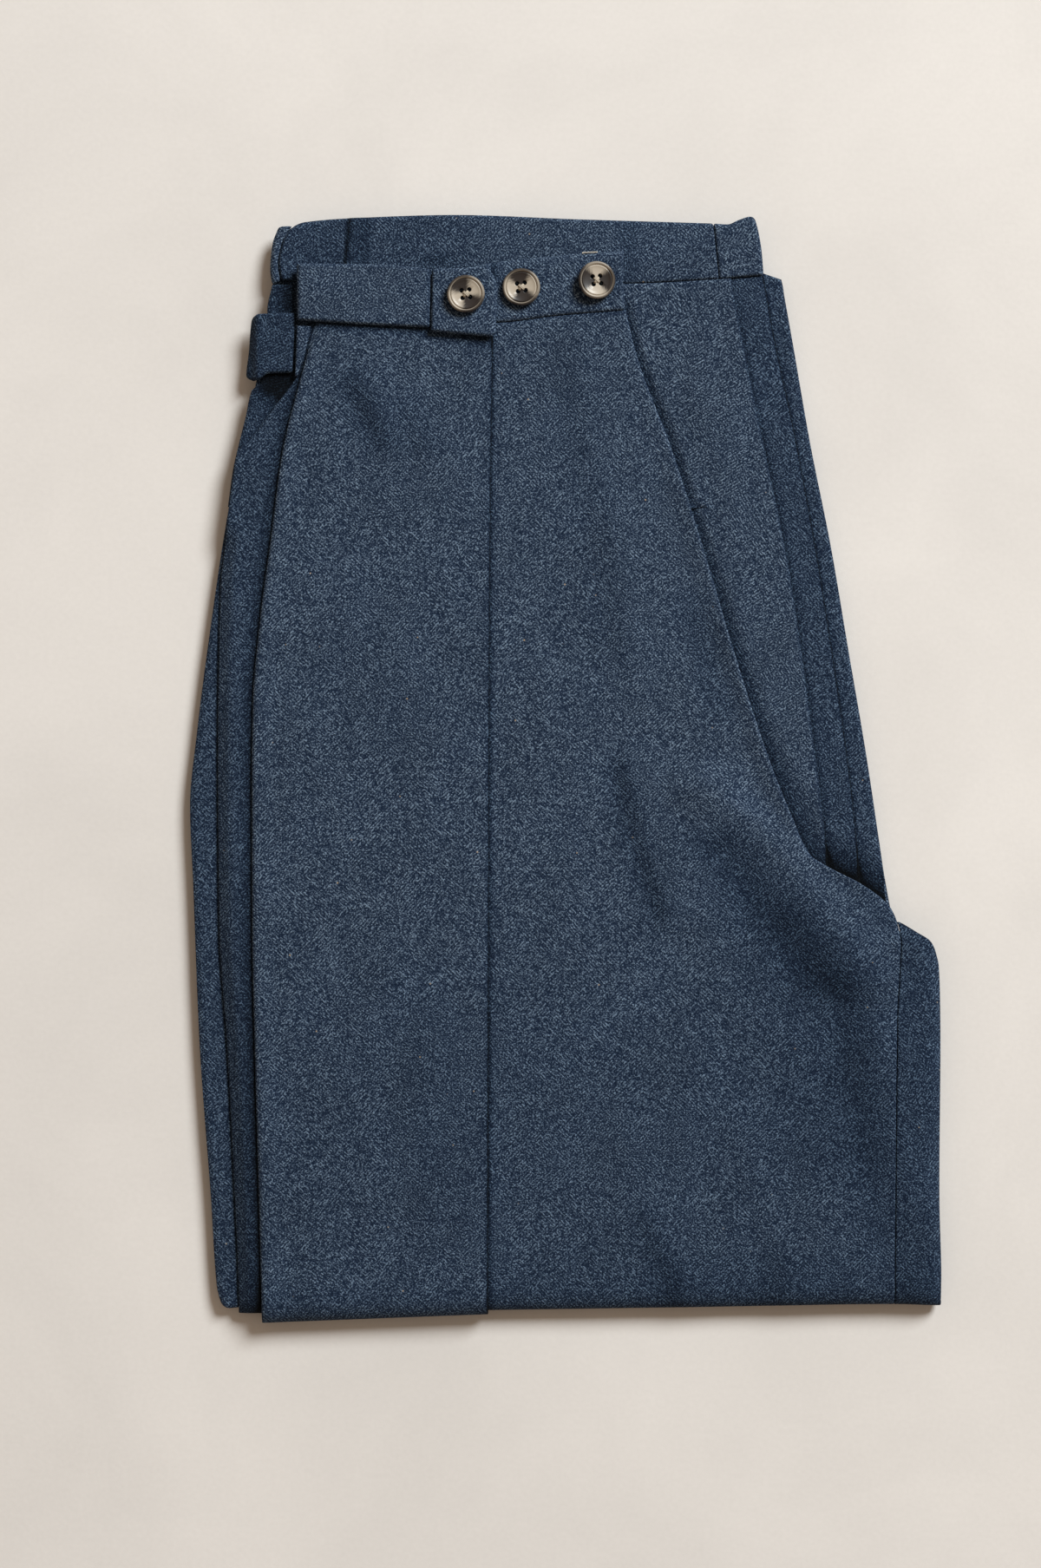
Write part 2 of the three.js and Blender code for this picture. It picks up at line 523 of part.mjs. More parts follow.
// A short piece whose four edges are one table each
function band(piece, height, thickness, columns = 8, rows = 4) {
  const edges = {
    left: curve(piece.left, 'y', 'x'),
    right: curve(piece.right, 'y', 'x'),
    top: curve(piece.top, 'x', 'y'),
    bottom: curve(piece.bottom, 'x', 'y'),
    height,
    span: [piece.top[0].y, piece.bottom[0].y],
  };
  const shares = (count) => Array.from({ length: count + 1 }, (_, i) => i / count);
  const rowsDown = shares(rows).map((share) => lerp(...edges.span, share));
  return clothWall(panelRows(edges, shares(columns), rowsDown), thickness);
}

const frontPanel = () => ply({
  left: frontLeft,
  right: frontRight,
  top: curve(FRONT_SEAM, 'x', 'y'),
  bottom: (x) => frontFold(x) + FOLD_DEPTH,
  height: frontHeight,
  tables: [FRONT_LEFT, FRONT_RIGHT],
  ...FRONT_GRID,
  fold: PITCH,
});

const inseamPanel = () => ply({
  left: (y) => frontRight(y) + 2 * GAP,
  right: inseamRight,
  top: flat(INSEAM_GRID.span[0]),
  bottom: (x) => frontFold(x) + FOLD_DEPTH,
  height: inseamHeight,
  tables: [INSEAM_RIGHT],
  ...INSEAM_GRID,
  fold: PITCH,
});

const wrapPanel = () => ply({
  left: wrapLeft,
  right: curve(WRAP_RIGHT, 'y', 'x'),
  top: curve(WRAP_SEAM, 'x', 'y'),
  bottom: (x) => curve(WRAP_FOLD, 'x', 'y')(x) + FOLD_DEPTH,
  height: flat(WRAP_TOP),
  tables: [WRAP_LEFT],
  ...WRAP_GRID,
  widest: WIDEST_WRAP,
  fold: 0,
});

const backPanel = (right, table, left, level) => ply({
  left,
  right,
  top: curve(BACK_TOP, 'x', 'y'),
  bottom: flat(BACK_GRID.span[1]),
  height: flat(level),
  tables: [table],
  ...BACK_GRID,
  exact: SEAT_NOTCH_ROWS,
  widest: WIDEST_BACK,
});

const facing = () => ply({
  left: curve(FACING_LEFT, 'y', 'x'),
  right: flat(FACING_RIGHT),
  top: flat(FACING_TOP),
  bottom: flat(FACING_BOTTOM),
  height: flat(THIGH_TOP),
  tables: [FACING_LEFT],
  span: [FACING_TOP, FACING_BOTTOM],
  columns: FACING_COLUMNS,
});

// The strap bends down over the folded edge of the leg on its left
function strapHeight(x) {
  return THIGH_TOP + GAP + STRAP_THICK - STRAP_BEND * ease(STRAP_BEND_START - x, 0, STRAP_BEND_WIDTH);
}

// A turned button with a raised rim, a dished face and four holes
function button() {
  const scale = new THREE.Vector2(BUTTON_RADIUS, BUTTON_HEIGHT);
  const profile = BUTTON_PROFILE.map(({ out, up }) => new THREE.Vector2(out, up).multiply(scale));
  const turned = solid(new THREE.LatheGeometry(profile, BUTTON_SIDES).rotateX(Math.PI / 2));
  const corners = [[-1, -1], [-1, 1], [1, -1], [1, 1]];
  const holes = corners.map(([i, j]) => {
    const drill = new THREE.CylinderGeometry(HOLE_RADIUS, HOLE_RADIUS, 3 * BUTTON_HEIGHT, HOLE_SIDES);
    return solid(drill.rotateX(Math.PI / 2).translate(i * HOLE_OFFSET, j * HOLE_OFFSET, 0));
  });
  return geometryFrom(holes.reduce((left, hole) => left.subtract(hole), turned));
}

function solid(geometry) {
  const bare = geometry.clone();
  bare.deleteAttribute('normal');
  bare.deleteAttribute('uv');
  const merged = mergeVertices(bare, WELD);
  const index = merged.index.array;
  const kept = [];
  for (let i = 0; i < index.length; i += 3) {
    const [a, b, c] = index.slice(i, i + 3);
    if (a !== b && b !== c && c !== a) kept.push(a, b, c);
  }
  const vertProperties = new Float32Array(merged.attributes.position.array);
  return new wasm.Manifold(new wasm.Mesh({ numProp: 3, vertProperties, triVerts: new Uint32Array(kept) }));
}

function geometryFrom(manifold) {
  const mesh = manifold.getMesh();
  const geometry = new THREE.BufferGeometry();
  geometry.setAttribute('position', new THREE.BufferAttribute(new Float32Array(mesh.vertProperties), 3));
  geometry.setIndex(new THREE.BufferAttribute(new Uint32Array(mesh.triVerts), 1));
  return geometry;
}

const garment = new THREE.Group();

function add(name, geometry, look) {
  const material = new THREE.MeshStandardMaterial(look);
  const mesh = new THREE.Mesh(geometry, material);
  mesh.name = name;
  garment.add(mesh);
  return mesh;
}

add('folded_under_legs', hiddenLayers(), WOOL_DARK);
const outermost = (y) => Math.max(frontLeft(Math.min(y, POCKET_FOOT)), underEdge(y));
const underLeft = (y) => outermost(y) + UNDER_BACK_INSET;
const seatLeft = (y) => (y > FACING_END ? FACING_RIGHT + 2 * GAP : underLeft(y));
const underBack = backPanel(underBackRight, UNDER_BACK_RIGHT, underLeft, SEAT_TOP + PITCH);
add('under_back_panel', underBack, WOOL_DARK);
add('seat_back_panel', backPanel(seatBackRight, SEAT_BACK_RIGHT, seatLeft, THIGH_TOP), WOOL);
add('inseam_back_panel', inseamPanel(), WOOL);
add('pocket_facing', facing(), WOOL_DARK);
add('front_panel', frontPanel(), WOOL);
add('wrap_panel', wrapPanel(), WOOL);
add('back_waistband', band(BACK_BAND, flat(THIGH_TOP), BACK_BAND_THICK, 12), WOOL);
add('back_waistband_end', band(END_BAND, flat(THIGH_TOP), BACK_BAND_THICK, 6), WOOL);
const sideBand = band(SIDE_BAND, flat(THIGH_TOP - SIDE_BAND_STEP), BACK_BAND_THICK - SIDE_BAND_STEP, 2);
add('side_waistband', sideBand, WOOL);
add('front_waistband', band(FRONT_BAND, flat(FRONT_BAND_TOP), BAND, 12), WOOL);
add('wrap_waistband', band(WRAP_BAND, flat(WRAP_BAND_TOP), BAND, 6), WOOL);
add('button_tab', band(TAB, flat(WRAP_BAND_TOP), BAND, 6, 6), WOOL);
add('side_strap', band(STRAP, strapHeight, STRAP_THICK, 7, 5), WOOL);
add('side_strap_base', band(STRAP_BASE, flat(WRAP_TOP), CLOTH, 3, 3), WOOL_DARK);

for (const { name, x, y, seat, lean } of BUTTONS) {
  const mesh = add(name, button(), HORN);
  const angle = THREE.MathUtils.degToRad(lean);
  mesh.position.set(x, y, seat + GAP + BUTTON_RADIUS * Math.sin(angle));
  mesh.rotation.y = angle;
}

export default garment;
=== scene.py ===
"""Folded wide-leg wool trousers with a wrapped, buttoned front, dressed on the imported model."""

import math
from collections import namedtuple
from dataclasses import dataclass
from functools import partial

import bmesh
import bpy
import numpy as np
from bpy.props import (
    FloatProperty,
    FloatVectorProperty,
    IntProperty,
    PointerProperty,
)
from mathutils import Matrix, Vector


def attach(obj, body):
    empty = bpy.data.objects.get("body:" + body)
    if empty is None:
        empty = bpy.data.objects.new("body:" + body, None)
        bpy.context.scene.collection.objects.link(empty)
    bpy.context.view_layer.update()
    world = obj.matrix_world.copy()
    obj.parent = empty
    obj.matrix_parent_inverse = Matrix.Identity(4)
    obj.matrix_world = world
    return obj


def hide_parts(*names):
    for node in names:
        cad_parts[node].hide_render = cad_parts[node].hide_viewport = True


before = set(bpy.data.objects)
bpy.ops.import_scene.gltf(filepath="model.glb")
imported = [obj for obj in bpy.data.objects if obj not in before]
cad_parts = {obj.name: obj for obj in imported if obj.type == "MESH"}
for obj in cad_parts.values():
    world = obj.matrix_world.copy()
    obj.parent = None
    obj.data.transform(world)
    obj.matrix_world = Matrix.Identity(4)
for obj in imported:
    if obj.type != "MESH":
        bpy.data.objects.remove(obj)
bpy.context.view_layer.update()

bl_info = {
    "name": "Folded wool trousers",
    "version": (1, 0, 0),
    "blender": (4, 5, 0),
    "location": "View3D > Sidebar > Trousers",
    "description": "Wide-leg wool trousers with a wrapped, buttoned front, folded flat",
    "category": "Object",
}

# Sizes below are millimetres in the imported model's frame: X across the waist, Y from the
# knee fold to the waist, Z up from the floor. Edge tables are (y, x) rows for a left or
# right edge, and (x, y) rows for a top or bottom one.
MM = 0.001

# Levels of the stack
CLOTH = 1.3
BAND = 2.4
GAP = 0.3
SEWN_GAP = 0.06  # between two panels that a seam pulls together
PITCH = CLOTH + GAP
SEAT_TOP = 7.0
THIGH_TOP = SEAT_TOP + 2 * PITCH
FRONT_TOP = THIGH_TOP + PITCH
WRAP_TOP = FRONT_TOP + PITCH
FRONT_BAND_TOP = THIGH_TOP + GAP + BAND
WRAP_BAND_TOP = WRAP_TOP + GAP + BAND
BACK_BAND = THIGH_TOP - SEAT_TOP - GAP
SEAT_END = -88
FOLD_DEPTH = 10
FOLD_RECESS = -216
DROOP_WIDTH = 7
DROOP = 3

# Outline of the hidden layers
UNDER_LEFT = (
    (261, -130), (257, -136), (240, -140), (219, -143.5), (187, -149), (157, -156),
    (119, -163.5), (69, -171), (19, -177.5), (-18, -181), (-56, -179.5), (-131, -176.5),
    (-206, -171), (-250, -168), (-260, -165),
)
UNDER_RIGHT = (
    (261, 88), (250, 92), (238.5, 93.5), (236, 103.5), (227, 105.2), (203, 109.5),
    (157, 117.5), (107, 127.5), (57, 136), (7, 144.5), (-43, 152), (-64, 155.2),
    (-75, 158), (-82, 163.5), (-90, 170), (-105, 174), (-200, 176), (-250, 176.5), (-256, 175),
)
UNDER_TOP = ((-140, 258), (-100, 263), (-50, 264), (90, 261))
UNDER_FOLD = ((-168, -260.5), (-160, -259.4), (-150, -258.6), (-30, -257.2), (176, -254.6))

# Right edges and top of the two back panels at the seat
UNDER_BACK_RIGHT = (
    (237, 94.8), (207, 100.2), (164, 109.4), (98, 121.5), (61, 127.3), (16, 134),
    (-21, 138.5), (-55, 141.5), (-87, 143),
)
SEAT_BACK_RIGHT = (
    (235, 79.5), (209, 84.4), (161, 94), (98, 107), (61, 112.7), (16, 118.8),
    (-21, 123.4), (-46, 125.8), (-87, 127),
)
BACK_TOP = ((-137, 234.3), (27, 233), (73, 235.1), (95, 237.1))

# Front panel: side edge with the slanted pocket mouth, then the crotch and inseam edge
FRONT_LEFT = (
    (216, -128.4), (190, -128.8), (184, -132.3), (172, -141.5), (162, -148.6), (151, -158.3),
    (139, -160.2), (121, -162.6), (111, -163.5), (87, -166.3), (5, -167.6), (-75, -167),
    (-136, -163), (-206, -159.5), (-238, -158), (-262, -157.3),
)
FRONT_RIGHT = (
    (220, 28.6), (197, 34.4), (176, 42), (161, 48), (98, 68.3), (55, 81), (13, 94.5),
    (-6, 101.5), (-23, 108.5), (-41, 117), (-47, 126), (-55, 141.5), (-62, 151.5),
    (-67, 156.3), (-75, 159.6), (-84, 160.8), (-100, 160), (-116, 159), (-206, 158),
    (-258, 157.8),
)
FRONT_SEAM = ((-125, 216.4), (-33, 214.2), (-5, 217.4), (29, 220.1))
FRONT_FOLD = ((-157, -262), (-37, -260.4), (70, -258.8), (158, -257.5), (180, -258.2))
INSEAM_RIGHT = (
    (-73.5, 160.4), (-75.5, 163.8), (-78, 168), (-82.6, 175), (-88, 177.8), (-95, 179.4),
    (-110, 180), (-131, 180.2), (-206, 179.6), (-244, 180.6), (-258, 180),
)

# Wrap panel: rounded fold on the left, free edge on the right
WRAP_LEFT = (
    (215, -119.8), (187, -127.7), (152, -136.3), (111, -141.8), (72, -147), (31, -150.5),
    (-6, -151), (-75, -150.8), (-136, -149.5), (-212, -147.4), (-266, -146),
)
WRAP_RIGHT = ((208, -35), (194, -35.3), (78, -36.5), (-262, -37.5))
WRAP_SEAM = ((-121, 215), (-97, 213.6), (-66, 212.2), (-36, 207.8))
WRAP_FOLD = ((-146, -266.5), (-38, -262.4))

# Facing behind the slanted pocket mouth
FACING_LEFT = (
    (232.3, -141.2), (220, -143.6), (214, -143.4), (193, -145.5), (186, -145.8), (182, -151),
    (169, -154), (157, -157), (144, -160), (126, -162.5),
)
FACING_RIGHT = -104.3
FACING_END = 125

# Waistband pieces and the side strap, one table for each of the four edges
BANDS = {
    "back_band": {
        "left": ((264, -128), (259.6, -132.5), (253, -136.3), (243, -138.3), (235, -137)),
        "right": ((262.5, 70.7), (235, 73.5)),
        "top": ((-132, 260.4), (-126, 262.7), (-104, 264.6), (-53, 266.2), (4, 264.2), (71, 262.1)),
        "bottom": ((-137, 234.5), (27, 233.1), (73, 235.2)),
    },
    "back_band_end": {
        "left": ((262.5, 70.8), (235, 73.6)),
        "right": ((265, 90.6), (259, 92.3), (249, 94), (237, 95)),
        "top": ((70.8, 262.1), (77.7, 261.7), (83, 263.8), (88.5, 265.4), (91, 264.8)),
        "bottom": ((73.5, 235.2), (95, 237.2)),
    },
    "side_band": {
        "left": ((261, -138), (252, -141.2), (240, -142.3), (233, -141.4)),
        "right": ((261, -131.6), (257, -134.2), (253, -136.4), (243, -138.4), (233, -137.2)),
        "top": ((-139, 260.6), (-131, 261)),
        "bottom": ((-141, 232.9), (-137, 234.2)),
    },
    "front_band": {
        "left": ((240, -125), (216, -125)),
        "right": ((249, 27.9), (234, 27.4), (220, 28.4)),
        "top": ((-125, 240), (-65, 238), (-33, 243.2), (-5, 246.2), (28, 248.8)),
        "bottom": ((-125, 216.46), (-33, 214.26), (-5, 217.46), (29, 220.16)),
    },
    "wrap_band": {
        "left": ((242, -129), (214, -129)),
        "right": ((239.5, -65), (211, -65.3)),
        "top": ((-129, 242), (-91, 241.6), (-65, 239.5)),
        "bottom": ((-129, 214.8), (-97, 212.8), (-65, 211.2)),
    },
    "button_tab": {
        "left": ((239.5, -64.4), (209, -64.9)),
        "right": ((241.5, -37.5), (230, -33), (209, -33.8), (206.8, -35.3)),
        "top": ((-64, 239.3), (-46, 240.2), (-37, 241.8)),
        "bottom": ((-65, 209.3), (-36, 206.7)),
    },
    "side_strap": {
        "left": ((218.3, -149.8), (214.6, -151.3), (200, -152.6), (189, -153.8), (186, -151.8)),
        "right": ((218.8, -130), (190, -131.4)),
        "top": ((-150, 218.2), (-130, 218.8)),
        "bottom": ((-152, 186), (-148, 186.6), (-143, 189.6), (-131, 190)),
    },
    "side_strap_base": {
        "left": ((212, -129.2), (188, -130.2)),
        "right": ((212, -122.4), (200, -125.2), (188, -129)),
        "top": ((-130, 212.6), (-121, 212.2)),
        "bottom": ((-131, 188.4), (-127, 188.2)),
    },
}
STRAP_THICK = 2.2

# Soft creases, each with a steep flank on its left and a long one on its right: the line that
# it follows as (y, x) rows, the widths of both flanks, its rise, and how far its ends fade out
Crease = namedtuple("Crease", "line left right rise fade")
FRONT_CREASES = (
    Crease(((-10, 72), (-49, 109), (-71, 125), (-100, 146)), 25, 17, 2.6, 18),
    Crease(((-3, 31), (-35, 40), (-67, 50)), 9, 36, 1.5, 22),
    Crease(((190, 8), (108, 25), (55, 34)), 15, 38, 1.1, 34),
    Crease(((-120, 150), (-164, 158), (-212, 168)), 22, 22, 1.6, 26),
    Crease(((70, 78), (50, 86), (20, 96)), 12, 12, 0.9, 24),
    Crease(((-214, 40), (-248, 56)), 9, 24, 0.8, 10),
    Crease(((-190, 92), (-246, 108)), 14, 30, 0.7, 22),
)
WRAP_CREASES = (
    Crease(((182, -97), (160, -85)), 9, 26, 1.2, 18),
    Crease(((172, -72), (150, -64)), 9, 20, 0.7, 16),
    Crease(((70, -96), (20, -84)), 20, 34, 0.5, 30),
    Crease(((-120, -72), (-210, -62)), 22, 26, 0.5, 30),
)
SEAT_CREASES = (Crease(((190, 62), (120, 82)), 12, 20, 0.5, 30),)

# Painted shade in the hollows, where the colour is made darker: the hollow's line as (y, x) rows,
# how far it reaches to either side, how much darker it is painted, and how far its ends fade out.
# A depth below zero is a painted highlight along a ridge, which looks lighter.
Hollow = namedtuple("Hollow", "line reach depth fade")
FRONT_HOLLOWS = (
    Hollow(((-38, 76), (-60, 92), (-83, 113), (-100, 124)), 15, 0.4, 20),
    Hollow(((-78, 104), (-115, 122), (-180, 132)), 34, 0.16, 34),
    Hollow(((-110, 134), (-131, 139), (-203, 148), (-220, 151)), 12, 0.22, 24),
    Hollow(((-2, 25), (-35, 33), (-68, 44)), 7, 0.34, 16),
    Hollow(((190, 0), (150, 8), (108, 17), (56, 22)), 10, 0.1, 30),
    Hollow(((-12, 82), (-42, 110), (-66, 134)), 8, -0.13, 16),
    Hollow(((75, 62), (50, 68), (30, 74)), 8, 0.2, 16),
    Hollow(((-52, 124), (-64, 142), (-72, 153)), 7, 0.14, 7),
    Hollow(((-217, 38), (-250, 52)), 7, 0.22, 8),
    Hollow(((-236, 96), (-250, 98)), 60, 0.14, 6),
)
WRAP_HOLLOWS = (
    Hollow(((186, -103), (172, -97), (158, -88)), 8, 0.36, 12),
    Hollow(((172, -77), (156, -69)), 8, 0.16, 12),
    Hollow(((60, -100), (20, -92)), 18, 0.05, 26),
    Hollow(((-110, -70), (-210, -58)), 22, 0.08, 30),
)

# The hollow beside the front panel's crotch edge: (y, width) rows, its depth and its painted shade
HOLLOW_WIDTH = ((220, 4), (100, 5.5), (52, 8), (20, 9), (-25, 16), (-50, 22), (-90, 24))
HOLLOW_DEPTH = 1.5
HOLLOW_SHADE = 0.82

BUTTON_RADIUS = 9
BUTTON_HEIGHT = 3.2
# Half section of a turned button: underside, rim, groove inside the rim, dished face
BUTTON_SECTION = (
    (0, 0), (0.62, 0), (0.8, 0.03), (0.92, 0.16), (0.985, 0.36), (1, 0.56), (0.985, 0.76),
    (0.955, 0.92), (0.92, 0.99), (0.885, 0.98), (0.86, 0.92), (0.84, 0.8), (0.825, 0.73),
    (0.805, 0.73), (0.79, 0.79), (0.77, 0.82), (0.745, 0.8), (0.7, 0.74), (0.6, 0.67),
    (0.4, 0.61), (0.2, 0.58), (0, 0.57),
)
HOLE_RADIUS = 1.06
HOLE_OFFSET = 1.8
# Where each button lies, the face that it is sewn to, its lean and the way its fibres run, in degrees,
# which also turns the painted highlight across its face
Button = namedtuple("Button", "number x y seat lean fibres")
BUTTONS = (
    Button(1, -48, 226.9, WRAP_BAND_TOP + 0.9, 0, 32),
    Button(2, -21.5, 230.7, FRONT_BAND_TOP, 0, 10),
    Button(3, 14.4, 233.9, FRONT_BAND_TOP, 8, 86),
)
BUTTON_TURN = math.radians(7)


def linear(code):
    """Linear RGB of an sRGB hex colour."""
    parts = [int(code[i:i + 2], 16) / 255 for i in (0, 2, 4)]
    return tuple(c / 12.92 if c <= 0.04045 else ((c + 0.055) / 1.055) ** 2.4 for c in parts)


# ---- sizes and colours that a user would change


def colour_setting(name, description, code):
    """Colour that a user may change, given as sRGB hex."""
    return FloatVectorProperty(name=name, description=description, subtype="COLOR", min=0, max=1,
                               default=linear(code))


def length_setting(name, description, low, high, default):
    """Length in metres that a user may change."""
    return FloatProperty(name=name, description=description, subtype="DISTANCE", unit="LENGTH",
                         min=low, max=high, default=default)


class WoolSettings(bpy.types.PropertyGroup):
    dark: colour_setting("Dark yarn", "Colour between the raised yarns", "132135")
    middle: colour_setting("Yarn", "Main colour of the yarn", "2B384C")
    light: colour_setting("Light yarn", "Colour of the yarns that catch the light", "788A9D")
    fleck: colour_setting("Fleck", "Colour of the rare undyed fibres", "B7A084")
    pitch: length_setting("Yarn pitch", "Distance between two yarns", 0.0003, 0.003, 0.0013)
    float_length: length_setting("Float length", "Length of one visible yarn float", 0.001, 0.01, 0.0026)
    relief: length_setting("Relief", "Height of the yarns in the bump", 0, 0.001, 0.0002)


class HornSettings(bpy.types.PropertyGroup):
    # pale also paints the highlight across each button's face and on its rim
    pale: colour_setting("Pale horn", "Light streaks of the horn", "B3A695")
    brown: colour_setting("Brown horn", "Dark streaks of the horn", "2A2320")
    sides: IntProperty(name="Sides", description="Facets round a button", min=24, max=160, default=96)


class StageSettings(bpy.types.PropertyGroup):
    floor: colour_setting("Floor", "Colour of the plaster floor", "E3DCD6")
    key: FloatProperty(name="Key light", description="Power of the large soft light",
                       subtype="POWER", unit="POWER", min=0, max=1000, default=489)
    fill: FloatProperty(name="Room light", description="Strength of the pale surroundings",
                        min=0, max=5, default=0.3)
    camera_height: length_setting("Camera height", "Height of the camera above the floor", 0.5, 5, 1.788)


# ---- curves, panels and cloth walls


def curve(rows):
    """Smooth curve through (along, value) rows that never overshoots them."""
    at, value = np.array(sorted(rows), float).T
    slope = np.diff(value) / np.diff(at)
    product, total = slope[:-1] * slope[1:], slope[:-1] + slope[1:]
    turning = product <= 0
    inside = np.where(turning, 0, 2 * product / np.where(turning, 1, total))
    tangent = np.concatenate([slope[:1], inside, slope[-1:]])

    def value_at(place):
        place = np.clip(place, at[0], at[-1])
        i = np.clip(np.searchsorted(at, place) - 1, 0, len(at) - 2)
        width = at[i + 1] - at[i]
        t = (place - at[i]) / width
        rise = t * t * (3 - 2 * t)
        lead = t * (1 - t) ** 2 * tangent[i]
        tail = t * t * (1 - t) * tangent[i + 1]
        return value[i] + (value[i + 1] - value[i]) * rise + width * (lead - tail)

    return value_at


def level(value):
    """Edge at one place all the way along."""
    return lambda place: value + 0 * place


def ease(value, start, end):
    """0 below the start, 1 past the end, and a soft rise between."""
    t = np.clip((value - start) / (end - start), 0, 1)
    return t * t * (3 - 2 * t)


def bell(distance, width):
    """1 at no distance, and a soft fall to nothing on both sides."""
    return np.exp(-(distance / width) ** 2)


def steps(*stops):
    """Values from the first stop on, in even steps of about each given spacing to the next stop."""
    values = [float(stops[0])]
    for spacing, stop in zip(stops[1::2], stops[2::2]):
        count = max(1, round(abs(stop - values[-1]) / spacing))
        values += list(np.linspace(values[-1], stop, count + 1)[1:])
    return np.array(values)


def joined(*parts):
    """Runs of steps, each going on from where the one before it ends."""
    return np.concatenate([parts[0], *(part[1:] for part in parts[1:])])


FIELD = 97  # cells along a side of the random field, after which it repeats
FIELD_START = 400  # keeps every place that is looked up above zero


def undulation(x, y, size, seed):
    """Smooth random field from 0 to 1 whose swells are about size mm across."""
    table = np.random.default_rng(seed).random((FIELD, FIELD))
    across, down = np.asarray(x) / size + FIELD_START, np.asarray(y) / size + FIELD_START
    i, j = np.floor(across).astype(int), np.floor(down).astype(int)
    s, t = across - i, down - j
    s, t = s * s * (3 - 2 * s), t * t * (3 - 2 * t)
    i, j, k, n = i % FIELD, j % FIELD, (i + 1) % FIELD, (j + 1) % FIELD
    return (table[i, j] * (1 - s) * (1 - t) + table[k, j] * s * (1 - t)
            + table[i, n] * (1 - s) * t + table[k, n] * s * t)


@dataclass
class Panel:
    """Four edges of a piece of cloth: x by y at its sides, y by x at its top and bottom."""

    left: callable
    right: callable
    top: callable
    bottom: callable
    span: tuple
    corners: tuple = (0, 0, 0, 0)

    def lay_out(self, across, rows):
        """Points at the given shares across and rows down, with rounded corners."""
        first, last = self.span
        reach = min(30, first - last)
        u, row = across[None, :], rows[:, None]
        at_top = np.clip(1 - (first - row) / reach, 0, None)
        at_bottom = np.clip(1 - (row - last) / reach, 0, None)
        x = self.left(row) + (self.right(row) - self.left(row)) * u
        for _ in range(5):
            y = row + at_top * (self.top(x) - first) + at_bottom * (self.bottom(x) - last)
            x = self.left(y) + (self.right(y) - self.left(y)) * u
        for corner, radius in enumerate(self.corners):
            if radius:
                side = x - self.left(y) if corner % 2 == 0 else self.right(y) - x
                end = self.top(x) - y if corner < 2 else y - self.bottom(x)
                inward = (np.clip(radius - side, 0, None), np.clip(radius - end, 0, None))
                near = (inward[0] > 0) & (inward[1] > 0)
                long = np.hypot(*inward)
                keep = np.where(near, np.maximum(*inward) / np.where(near, long, 1), 1)
                shift = [part * (1 - keep) for part in inward]
                x = x + np.where(near, shift[0], 0) * (1 if corner % 2 == 0 else -1)
                y = y + np.where(near, shift[1], 0) * (-1 if corner < 2 else 1)
        return x, y

    def fall(self, x, y, rolls):
        """How far a rounded edge has dropped; rolls is (depth, width) for left, right, top, bottom."""
        away = (x - self.left(y), self.right(y) - x, self.top(x) - y, y - self.bottom(x))
        drop = np.zeros_like(x)
        for distance, roll in zip(away, rolls):
            if roll:
                depth, width = roll
                near = 1 - np.clip(distance / width, 0, 1)
                drop = np.maximum(drop, depth * (1 - np.sqrt(1 - near ** 2)))
        return drop


def band_panel(table, corners=(1.2, 1.2, 1.2, 1.2)):
    """Panel of a waistband piece or strap from its four edge tables."""
    left, right, top, bottom = (curve(table[side]) for side in ("left", "right", "top", "bottom"))
    span = (table["top"][0][1], table["bottom"][0][1])
    return Panel(left, right, top, bottom, span, corners)


